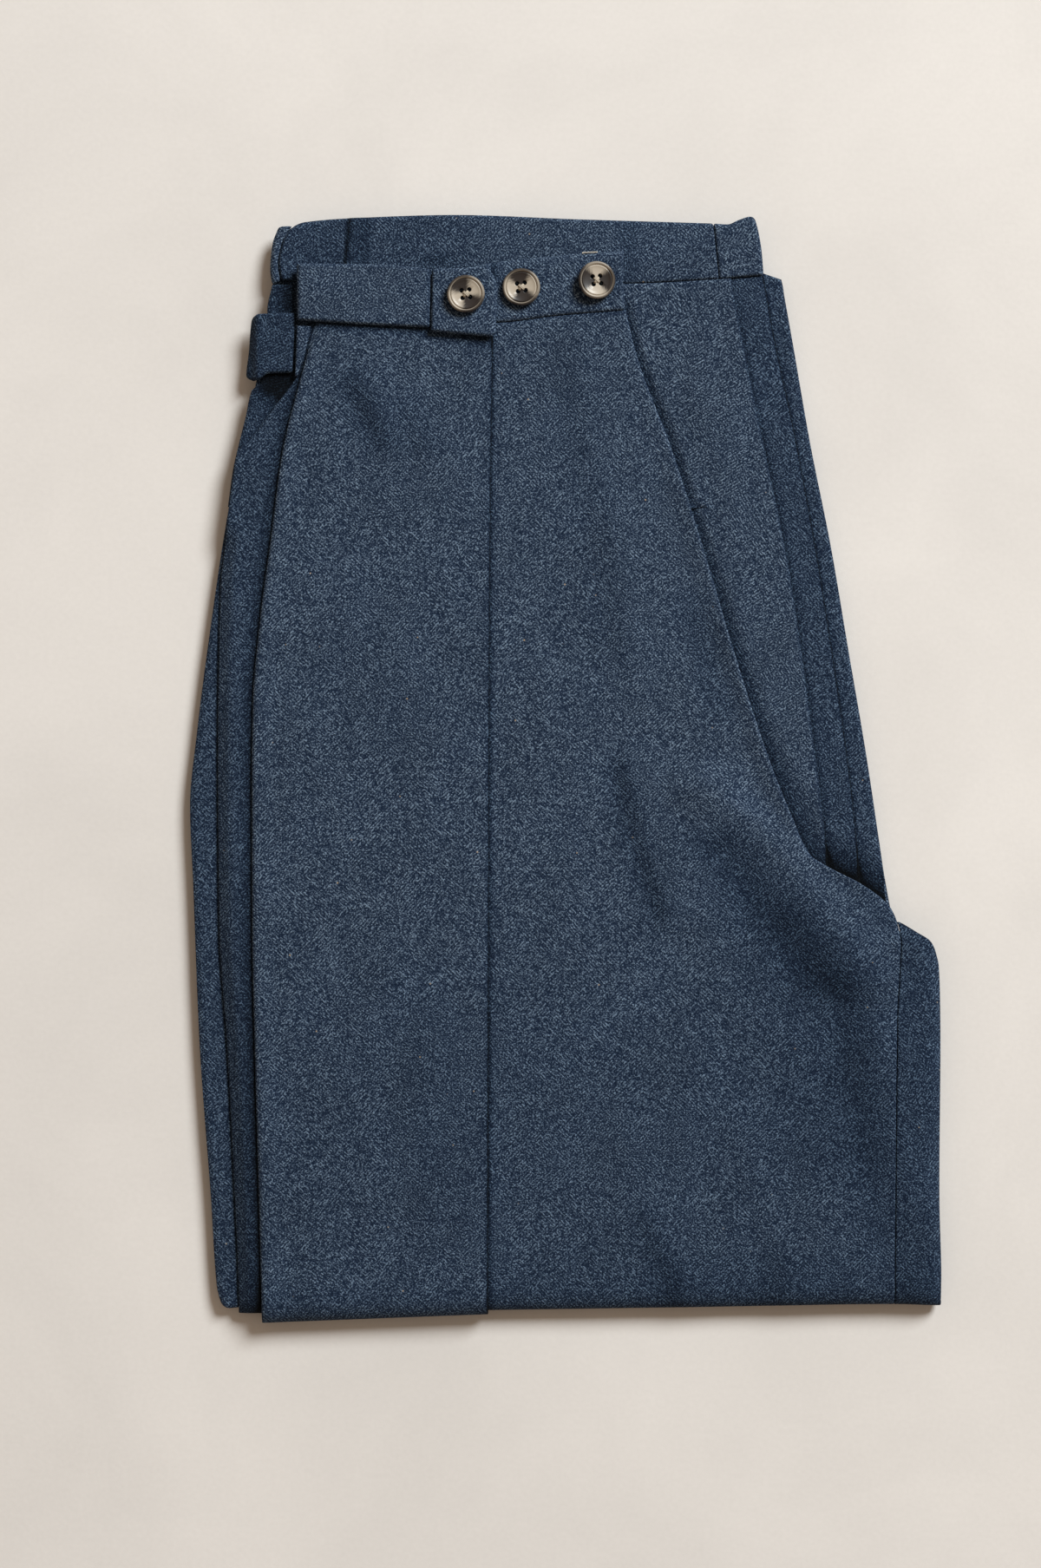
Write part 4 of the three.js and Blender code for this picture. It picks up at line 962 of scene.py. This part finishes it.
class TROUSERS_OT_pocket(bpy.types.Operator):
    """Facing that shows in the slanted pocket mouth"""

    bl_idname = "trousers.pocket"
    bl_label = "Pocket facing"

    TOP_ROW = 232.4
    LAST_ROW = FACING_END + 0.8

    def execute(self, context):
        panel = Panel(curve(FACING_LEFT), level(FACING_RIGHT), level(self.TOP_ROW), level(self.LAST_ROW),
                      (self.TOP_ROW, self.LAST_ROW))
        x, y = panel.lay_out(steps(0, 0.02, 0.12, 0.04, 1), steps(self.TOP_ROW, 1.8, self.LAST_ROW))
        fall = panel.fall(x, y, ((0.7, 2.5), None, None, None))
        # It sinks below the strap's lower end and below the waistband's side
        hollow = np.exp(-((x + 137.5) / 10.5) ** 2 - ((y - 186) / 8) ** 2)
        recess = bell(x + 134, 6) * ease(y, 214, 221)
        z = settle(x, y, THIGH_TOP - fall - 0.5 * hollow - 0.4 * recess)
        # Painted shade: near black in the pocket mouth under the strap, darker all over, in the recess and
        # beside the front panel's side
        painted_shading = -0.3 - 1.05 * hollow ** 0.7 - 0.55 * recess
        painted_shading = painted_shading + line_shade(front_left(y) - x, 4, 0.3) * (y < 184)
        wall = shell(x, y, z, CLOTH - fall - 0.5 * hollow - 0.4 * recess, np.clip(painted_shading, -0.97, 1))
        cloth_piece(context, "pocket_facing_cloth", [wall], 30, "pocket_facing")
        return {"FINISHED"}


class TROUSERS_OT_front_panel(bpy.types.Operator):
    """Front panel of the top leg, from the waist round the knee fold"""

    bl_idname = "trousers.front_panel"
    bl_label = "Front panel"

    TOP_ROW = 216
    LAST_ROW = -250

    def execute(self, context):
        fold = curve(FRONT_FOLD)
        panel = Panel(front_left, front_right, curve(FRONT_SEAM), lambda x: fold(x) + FOLD_DEPTH,
                      (self.TOP_ROW, self.LAST_ROW))
        across = joined(steps(0, 0.004, 0.02, 0.007, 0.115), steps(0.115, 0.02, 0.355),
                        steps(0.355, 0.0072, 0.984, 0.004, 1))
        x, y = panel.lay_out(across, steps(self.TOP_ROW, 0.8, 212, 2.4, -36, 1.1, -80, 2.4, self.LAST_ROW))
        from_edge = front_right(y) - x
        # The crotch edge stands up a little, and below it the inseam is sewn down
        lift = 1.1 * bell(from_edge, 7) * ease(y, -80, -20) * (1 - ease(y, 150, 215))
        sewn = ease(-y, 78, 90)
        fall = panel.fall(x, y, ((0.7, 2.4), (0.5, 1.4), (0.2, 0.8), None))
        fall = fall * (1 - 0.6 * sewn * (x > front_right(y) - 2))
        z = settle(x, y, front_height(x, y) + creases(x, y, FRONT_CREASES) + lift - fall)
        # Painted shade in the hollows, beside the wrap panel's two edges, along the inseam and under the
        # waistband, and darker towards the knee, with a painted highlight along the crotch edge
        painted_shading = hollows(x, y, FRONT_HOLLOWS) - 0.14 * ease(-y, 20, 170)
        painted_shading = painted_shading + line_shade(wrap_left(y) - x, 9, 0.62) - 0.22 * (x < wrap_left(y) + 3)
        painted_shading = painted_shading + line_shade(x - wrap_right(y) + 0.6, 3.2, 0.95)
        painted_shading = painted_shading + line_shade(from_edge, 1.0, 0.06) * sewn
        painted_shading = painted_shading + 0.1 * bell(from_edge, 1.6) * (y > -66)
        painted_shading = painted_shading + line_shade(panel.top(x) - y, 3, 0.36)
        painted_shading = painted_shading - 0.14 * ease(-y, 238, 254)
        wall = shell(*knee_fold(x, y, z, CLOTH - fall, painted_shading, PITCH), folded=True)
        cloth_piece(context, "front_cloth", [wall], 0, "front_panel")
        return {"FINISHED"}


class TROUSERS_OT_wrap_panel(bpy.types.Operator):
    """Wrap panel across the front, turned in along its left fold"""

    bl_idname = "trousers.wrap_panel"
    bl_label = "Wrap panel"

    TOP_ROW = 212
    LAST_ROW = -254

    def execute(self, context):
        fold = curve(WRAP_FOLD)
        panel = Panel(wrap_left, wrap_right, curve(WRAP_SEAM), lambda x: fold(x) + FOLD_DEPTH,
                      (self.TOP_ROW, self.LAST_ROW))
        across = np.append(steps(0, 0.01, 0.06, 0.02, 0.95, 0.01, 0.99), (0.996, 1))
        x, y = panel.lay_out(across, steps(self.TOP_ROW, 0.8, 208, 2.3, self.LAST_ROW))
        from_fold = x - wrap_left(y)
        # The cloth turned in along the fold is thicker there
        turned = 0.9 * (1 - ease(from_fold, 3, 13)) * ease(210 - y, 0, 24)
        fall = panel.fall(x, y, ((1.5, 3.4), (0.55, 1.4), (0.3, 1.0), None))
        z = settle(x, y, WRAP_TOP + creases(x, y, WRAP_CREASES) + turned - fall)
        # Painted shade in the hollows, under the waistband and along the right edge, darker towards the knee,
        # with a painted highlight beside the fold
        painted_shading = hollows(x, y, WRAP_HOLLOWS) - 0.02 - 0.08 * ease(-y, 40, 190)
        painted_shading = painted_shading + 0.05 * bell(from_fold - 2, 2.5)
        painted_shading = painted_shading + line_shade(panel.top(x) - y - 1.5, 5 + 5 * ease(x, -90, -40), 0.7)
        painted_shading = painted_shading - 0.9 * bell(x - wrap_right(y), 0.95) * ease(210 - y, 0, 8)
        painted_shading = painted_shading - 0.12 * ease(-y, 243, 257)
        wall = shell(*knee_fold(x, y, z, CLOTH + turned - fall, painted_shading, 0.0), rim_wear_and_shading=-0.15, folded=True)
        cloth_piece(context, "wrap_cloth", [wall], -3, "wrap_panel")
        return {"FINISHED"}


class TROUSERS_OT_waistband(bpy.types.Operator):
    """Six waistband pieces, from the inner back to the button tab"""

    bl_idname = "trousers.waistband"
    bl_label = "Waistband"

    def execute(self, context):
        # How far an edge rounds down, and over what width
        soft, crisp, sewn = (1.0, 2.6), (0.7, 1.6), (0.3, 0.9)
        self.band(context, "back_band", "back_waistband", THIGH_TOP, BACK_BAND,
                  (crisp, sewn, soft, sewn), 90, self.back_relief)
        self.band(context, "back_band_end", "back_waistband_end", THIGH_TOP, BACK_BAND,
                  (sewn, soft, soft, sewn), 80)
        self.band(context, "side_band", "side_waistband", THIGH_TOP - 0.6, BACK_BAND - 0.6,
                  (soft, sewn, crisp, crisp), 20)
        self.band(context, "front_band", "front_waistband", FRONT_BAND_TOP, BAND,
                  (crisp, (0.9, 2.0), (1.7, 6.0), (0.5, 1.4)), 90, self.front_relief)
        self.band(context, "wrap_band", "wrap_waistband", WRAP_BAND_TOP, BAND,
                  ((1.1, 2.8), crisp, crisp, crisp), 85, self.wrap_relief)
        self.band(context, "button_tab", "button_tab", WRAP_BAND_TOP, BAND,
                  (crisp, soft, crisp, crisp), 8, self.tab_relief)
        return {"FINISHED"}

    def band(self, context, name, node, height, thick, rolls, grain, relief=None):
        """One waistband piece with rounded edges."""
        panel = band_panel(BANDS[name])
        top, bottom = panel.span
        middle = (top + bottom) / 2
        width = panel.right(middle) - panel.left(middle)
        edge = min(0.5, 3.2 / width)
        across = np.unique(steps(0, 0.8 / width, edge, 0.9 / width, 1 - edge, 0.8 / width, 1))
        x, y = panel.lay_out(across, steps(top, 0.8, top - 3.2, 1.5, bottom + 3.2, 0.8, bottom))
        fall = panel.fall(x, y, rolls)
        rise, painted_shading = relief(x, y) if relief else (0, 0)
        wall = shell(x, y, settle(x, y, height + rise - fall), thick - fall, painted_shading, rim=0.45)
        cloth_piece(context, f"{name}_cloth", [wall], grain, node)

    def back_relief(self, x, y):
        """Folded pleat near the left end, and painted shade along its fold and left of it, where the front
        band lies on the band, above the button tab and at both ends of the front band.
        """
        side = x - (-104.2 - (260 - y) * 0.1)
        rise = 0.75 * (1 - ease(-side, 0, 1.6)) * (1 - ease(side, 2, 9)) * (side < 9)
        painted_shading = -0.66 * bell(side, 1.2) - 0.32 * ease(side, 0, 2) * (1 - ease(side, 9, 13))
        painted_shading = painted_shading - 0.26 * (side < 0) - 0.14 * (side >= 0) * (1 - ease(x, -70, -30)) - 0.06
        painted_shading = painted_shading - 0.34 * np.exp(-((x + 60.5) / 9) ** 2 - ((y - 244) / 3) ** 2)
        painted_shading = painted_shading - 0.35 * (1 - ease(y, 234, 240)) * (x < -124) - 0.25 * bell(x - 30, 5)
        return rise, painted_shading

    def front_relief(self, x, y):
        """Painted shade beside the button tab, painted shadow rings round the buttons, and a slight swell
        between the buttons.
        """
        rise = 0.3 * np.exp(-((x + 2) / 14) ** 2 - ((y - 230) / 9) ** 2)
        return rise, line_shade(x + 33.5, 2.0, 0.5) + button_ring(x, y)

    def wrap_relief(self, x, y):
        """The band swells a little along its middle; painted shade along its right end, beside the button
        tab.
        """
        rise = 0.4 * bell(y - 228, 9) * ease(x, -128, -118) * (1 - ease(x, -74, -66))
        return rise, -0.25 * bell(x + 65.5, 1.6)

    def tab_relief(self, x, y):
        """The tab's lower edge curls up off the wrap panel; painted shade along its left edge and a painted
        shadow ring round its button.
        """
        return 1.2 * ease(232 - y, 0, 26), button_ring(x, y) - 0.3 * bell(x + 65, 1.6)


class TROUSERS_OT_side_strap(bpy.types.Operator):
    """Side strap and the strip that it is sewn to"""

    bl_idname = "trousers.side_strap"
    bl_label = "Side strap"

    def execute(self, context):
        panel = band_panel(BANDS["side_strap"], (2.4, 0.5, 2.2, 0.8))
        x, y = panel.lay_out(steps(0, 0.036, 1), steps(218.2, 0.8, 215, 1.2, 189, 0.8, 186))
        fall = panel.fall(x, y, ((1.0, 2.6), (0.4, 1.0), (0.9, 2.2), (0.9, 2.2)))
        bend = 3.5 * ease(-147.5 - x, 0, 5)
        z = settle(x, y, THIGH_TOP + GAP + STRAP_THICK - bend - fall)
        # Painted shade: the strap darker all over, more at its bent left end and at its right end
        painted_shading = -0.42 - 0.15 * ease(-x, 146, 153) - 0.25 * ease(x, -132, -130)
        wall = shell(x, y, z, STRAP_THICK - fall, painted_shading, rim=0.4)
        cloth_piece(context, "side_strap_cloth", [wall], 20, "side_strap")
        panel = band_panel(BANDS["side_strap_base"], (0.4, 0.6, 0.4, 0.4))
        x, y = panel.lay_out(steps(0, 0.12, 1), steps(212.6, 1.0, 188.4))
        fall = panel.fall(x, y, ((0.4, 1.0), (0.5, 1.2), (0.3, 0.8), (0.4, 1.0)))
        # The strip under it is painted a little darker all over
        wall = shell(x, y, settle(x, y, WRAP_TOP - fall), CLOTH - fall, -0.1)
        cloth_piece(context, "side_strap_base_cloth", [wall], 10, "side_strap_base")
        return {"FINISHED"}


class TROUSERS_OT_buttons(bpy.types.Operator):
    """Three four-hole horn buttons and the thread that holds them"""

    bl_idname = "trousers.buttons"
    bl_label = "Buttons"

    DRILL_SIDES = 24
    DRILL_TURN = 0.11  # keeps the drill's facets off the button's own
    # A strand's path over the button: share of the way from the middle to a hole, and height
    TOP = 0.62 * BUTTON_HEIGHT
    STRAND = (
        (-0.66, 0.25), (-0.64, 1.2), (-0.57, TOP - 0.25), (-0.38, TOP + 0.1), (0, TOP + 0.2),
        (0.38, TOP + 0.1), (0.57, TOP - 0.25), (0.64, 1.2), (0.66, 0.25),
    )

    def execute(self, context):
        horn = context.scene.trousers_horn
        material = turned_horn(horn)
        thread = spun_thread("button_thread", linear("B9AB97"))
        for row in BUTTONS:
            lean = math.radians(row.lean)
            height = settled_point(row.x, row.y, row.seat) + GAP + BUTTON_RADIUS * math.sin(lean)
            place = (Matrix.Translation(Vector((row.x, row.y, height)) * MM)
                     @ Matrix.Rotation(lean, 4, "Y") @ Matrix.Rotation(BUTTON_TURN, 4, "Z"))
            fibres = math.radians(row.fibres) - BUTTON_TURN
            button = self.turned_button(f"horn_button_{row.number}", horn.sides, fibres, material)
            button.matrix_world = place
            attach(button, "root")
            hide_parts(f"button_{row.number}")
            crossing = self.crossing_thread(f"crossing_thread_{row.number}", thread, row.number)
            crossing.matrix_world = place
            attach(crossing, "root")
        return {"FINISHED"}

    def turned_button(self, name, sides, fibres, material):
        """Lathe-turned body with four countersunk holes cut through it."""
        section = [(out * BUTTON_RADIUS, up * BUTTON_HEIGHT) for out, up in BUTTON_SECTION]
        body = self.lathe(name, section, sides)
        face = 0.6 * BUTTON_HEIGHT
        section = [(0, -1), (HOLE_RADIUS, -1), (HOLE_RADIUS, face - 0.2), (HOLE_RADIUS + 0.08, face - 0.04),
                   (HOLE_RADIUS + 0.26, face + 0.1), (HOLE_RADIUS + 0.6, face + 0.5), (0, face + 0.5)]
        drills = []
        for i, j in ((-1, -1), (-1, 1), (1, -1), (1, 1)):
            drill = self.lathe("drill", section, self.DRILL_SIDES)
            drill.location = (i * HOLE_OFFSET * MM, j * HOLE_OFFSET * MM, 0)
            drill.rotation_euler.z = self.DRILL_TURN
            cut = body.modifiers.new("hole", "BOOLEAN")
            cut.operation, cut.solver, cut.object = "DIFFERENCE", "EXACT", drill
            drills.append(drill)
        bpy.context.view_layer.update()
        drilled = bpy.data.meshes.new_from_object(body.evaluated_get(bpy.context.evaluated_depsgraph_get()))
        body.modifiers.clear()
        body.data = drilled
        for drill in drills:
            bpy.data.objects.remove(drill)
        drilled.name = name
        drilled.materials.clear()
        drilled.materials.append(material)
        points = np.empty(3 * len(drilled.vertices), np.float32)
        drilled.vertices.foreach_get("co", points)
        grain = points.reshape(-1, 3) @ np.array(Matrix.Rotation(fibres, 3, "Z")) / MM
        set_attribute(drilled, "grain", grain)
        # Points on the walls of the holes get the painted shade
        place = points.reshape(-1, 3) / MM
        off_axis = np.hypot(*(np.abs(place[:, :2]) - HOLE_OFFSET).T)
        set_attribute(drilled, "painted_hole_shade", (off_axis < HOLE_RADIUS + 0.05) & (place[:, 2] > 0.1))
        drilled.shade_smooth()
        drilled.set_sharp_from_angle(angle=math.radians(50))
        return body

    def lathe(self, name, section, sides):
        """Object turned about Z from a half section of (radius, height) rows in mm."""
        shape = bmesh.new()
        rows = [shape.verts.new((out * MM, 0, up * MM)) for out, up in section]
        edges = [shape.edges.new(pair) for pair in zip(rows, rows[1:])]
        bmesh.ops.spin(shape, geom=rows + edges, cent=(0, 0, 0), axis=(0, 0, 1), angle=2 * math.pi,
                       steps=sides, use_merge=True)
        bmesh.ops.remove_doubles(shape, verts=shape.verts, dist=1e-6)
        bmesh.ops.recalc_face_normals(shape, faces=shape.faces)
        mesh = bpy.data.meshes.new(name)
        shape.to_mesh(mesh)
        shape.free()
        turned = bpy.data.objects.new(name, mesh)
        bpy.context.scene.collection.objects.link(turned)
        return turned

    def crossing_thread(self, name, material, seed):
        """Strands of thread that cross between the holes and go down through them."""
        rng = np.random.default_rng(seed)
        line, thread = thread_line(name, 0.25, material)
        for bundle, (i, j) in enumerate(((1, 1), (1, -1))):
            for strand in (-1.2, -0.4, 0.4, 1.2):
                aside = np.array([-j, i]) * 0.3 * strand / math.sqrt(2)
                ends = np.array([i, j]) * HOLE_OFFSET
                path = []
                for share, height in self.STRAND:
                    over = abs(share) < 0.6
                    spread = aside * (1 if over else 0.75)
                    wobble = rng.normal(0, 0.02, 2)
                    rise = (0.3 * bundle + 0.03 * strand) * over
                    path.append((*(ends * share + spread + wobble), height + rise))
                spline = add_spline(line, "NURBS", path)
                spline.use_endpoint_u = True
                spline.order_u = 3
        return thread


class TROUSERS_OT_bar_tack(bpy.types.Operator):
    """Short cream bar tack at the top of the front waistband"""

    bl_idname = "trousers.bar_tack"
    bl_label = "Bar tack"

    START, END = np.array((7.9, 247.6)), np.array((15.0, 247.9))
    STITCHES = 36
    HALF_WIDTH = 0.36

    def execute(self, context):
        line, tack = thread_line("bar_tack", 0.2, spun_thread("cream_thread", linear("EFE3CF")))
        face = settled_point(11.0, 247.5, FRONT_BAND_TOP - 1.4) + 0.25
        path = []
        for step in range(self.STITCHES + 1):
            share = step / self.STITCHES
            x, y = self.START + (self.END - self.START) * share
            half = self.HALF_WIDTH * (1 - 0.75 * share ** 2) * (1 if step % 2 else -1)
            path.append((x, y + half, face + 0.1 * (step % 2)))
        add_spline(line, "POLY", path)
        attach(tack, "root")
        return {"FINISHED"}


class TROUSERS_OT_stage(bpy.types.Operator):
    """Plaster floor, large soft light, pale surroundings and the camera overhead"""

    bl_idname = "trousers.stage"
    bl_label = "Stage"

    FLOOR_REACH = 3.0  # m to each side
    FLOOR_DROP = 0.0002
    LAMP_PLACE = Vector((3.05, 3.65, 3.85))
    LAMP_SIZE = 2.6
    LAMP_COLOUR = (0.897, 0.966, 1.0)
    ROOM_COLOUR = "FFE8D0"
    CAMERA_X, CAMERA_Y = -0.0219, -0.0073

    def execute(self, context):
        scene, settings = context.scene, context.scene.trousers_stage
        shape = bmesh.new()
        bmesh.ops.create_grid(shape, x_segments=8, y_segments=8, size=self.FLOOR_REACH)
        mesh = bpy.data.meshes.new("floor")
        shape.to_mesh(mesh)
        shape.free()
        mesh.materials.append(trowelled_plaster(settings.floor))
        floor = bpy.data.objects.new("floor", mesh)
        floor.location.z = -self.FLOOR_DROP
        scene.collection.objects.link(floor)
        key = bpy.data.lights.new("key", "AREA")
        key.shape, key.size = "DISK", self.LAMP_SIZE
        key.energy, key.color = settings.key, self.LAMP_COLOUR
        lamp = bpy.data.objects.new("key", key)
        lamp.location = self.LAMP_PLACE
        lamp.rotation_euler = (-lamp.location).to_track_quat("-Z", "Y").to_euler()
        scene.collection.objects.link(lamp)
        world = bpy.data.worlds.new("room")
        world.use_nodes = True
        world.node_tree.nodes.clear()
        room = add_node(world.node_tree, "Background",
                        {"Color": (*linear(self.ROOM_COLOUR), 1), "Strength": settings.fill})
        add_node(world.node_tree, "OutputWorld", {"Surface": room})
        scene.world = world
        scene.view_settings.view_transform = "Standard"
        camera = bpy.data.cameras.new("camera")
        camera.lens, camera.sensor_width = 85, 36
        camera.clip_start, camera.clip_end = 0.05, 20
        eye = bpy.data.objects.new("camera", camera)
        eye.location = (self.CAMERA_X, self.CAMERA_Y, settings.camera_height)
        scene.collection.objects.link(eye)
        scene.camera = eye
        return {"FINISHED"}


class TROUSERS_PT_panel(bpy.types.Panel):
    bl_idname = "TROUSERS_PT_panel"
    bl_label = "Folded wool trousers"
    bl_space_type = "VIEW_3D"
    bl_region_type = "UI"
    bl_category = "Trousers"

    def draw(self, context):
        layout = self.layout
        for group in ("trousers_wool", "trousers_horn", "trousers_stage"):
            box = layout.box()
            settings = getattr(context.scene, group)
            for name in settings.bl_rna.properties.keys():
                if name not in ("rna_type", "name"):
                    box.prop(settings, name)
        for operator in OPERATORS:
            layout.operator(operator.bl_idname)


GROUPS = {"trousers_wool": WoolSettings, "trousers_horn": HornSettings, "trousers_stage": StageSettings}
OPERATORS = (
    TROUSERS_OT_hidden_legs,
    TROUSERS_OT_back_panels,
    TROUSERS_OT_pocket,
    TROUSERS_OT_front_panel,
    TROUSERS_OT_wrap_panel,
    TROUSERS_OT_waistband,
    TROUSERS_OT_side_strap,
    TROUSERS_OT_buttons,
    TROUSERS_OT_bar_tack,
    TROUSERS_OT_stage,
)


def register():
    for kind in (*GROUPS.values(), *OPERATORS, TROUSERS_PT_panel):
        bpy.utils.register_class(kind)
    for name, group in GROUPS.items():
        setattr(bpy.types.Scene, name, PointerProperty(type=group))


def unregister():
    for name in GROUPS:
        delattr(bpy.types.Scene, name)
    for kind in (TROUSERS_PT_panel, *reversed(OPERATORS), *reversed(GROUPS.values())):
        bpy.utils.unregister_class(kind)


def main():
    register()
    bpy.ops.trousers.hidden_legs()
    bpy.ops.trousers.back_panels()
    bpy.ops.trousers.pocket()
    bpy.ops.trousers.front_panel()
    bpy.ops.trousers.wrap_panel()
    bpy.ops.trousers.waistband()
    bpy.ops.trousers.side_strap()
    bpy.ops.trousers.buttons()
    bpy.ops.trousers.bar_tack()
    bpy.ops.trousers.stage()


if __name__ == "__main__":
    main()
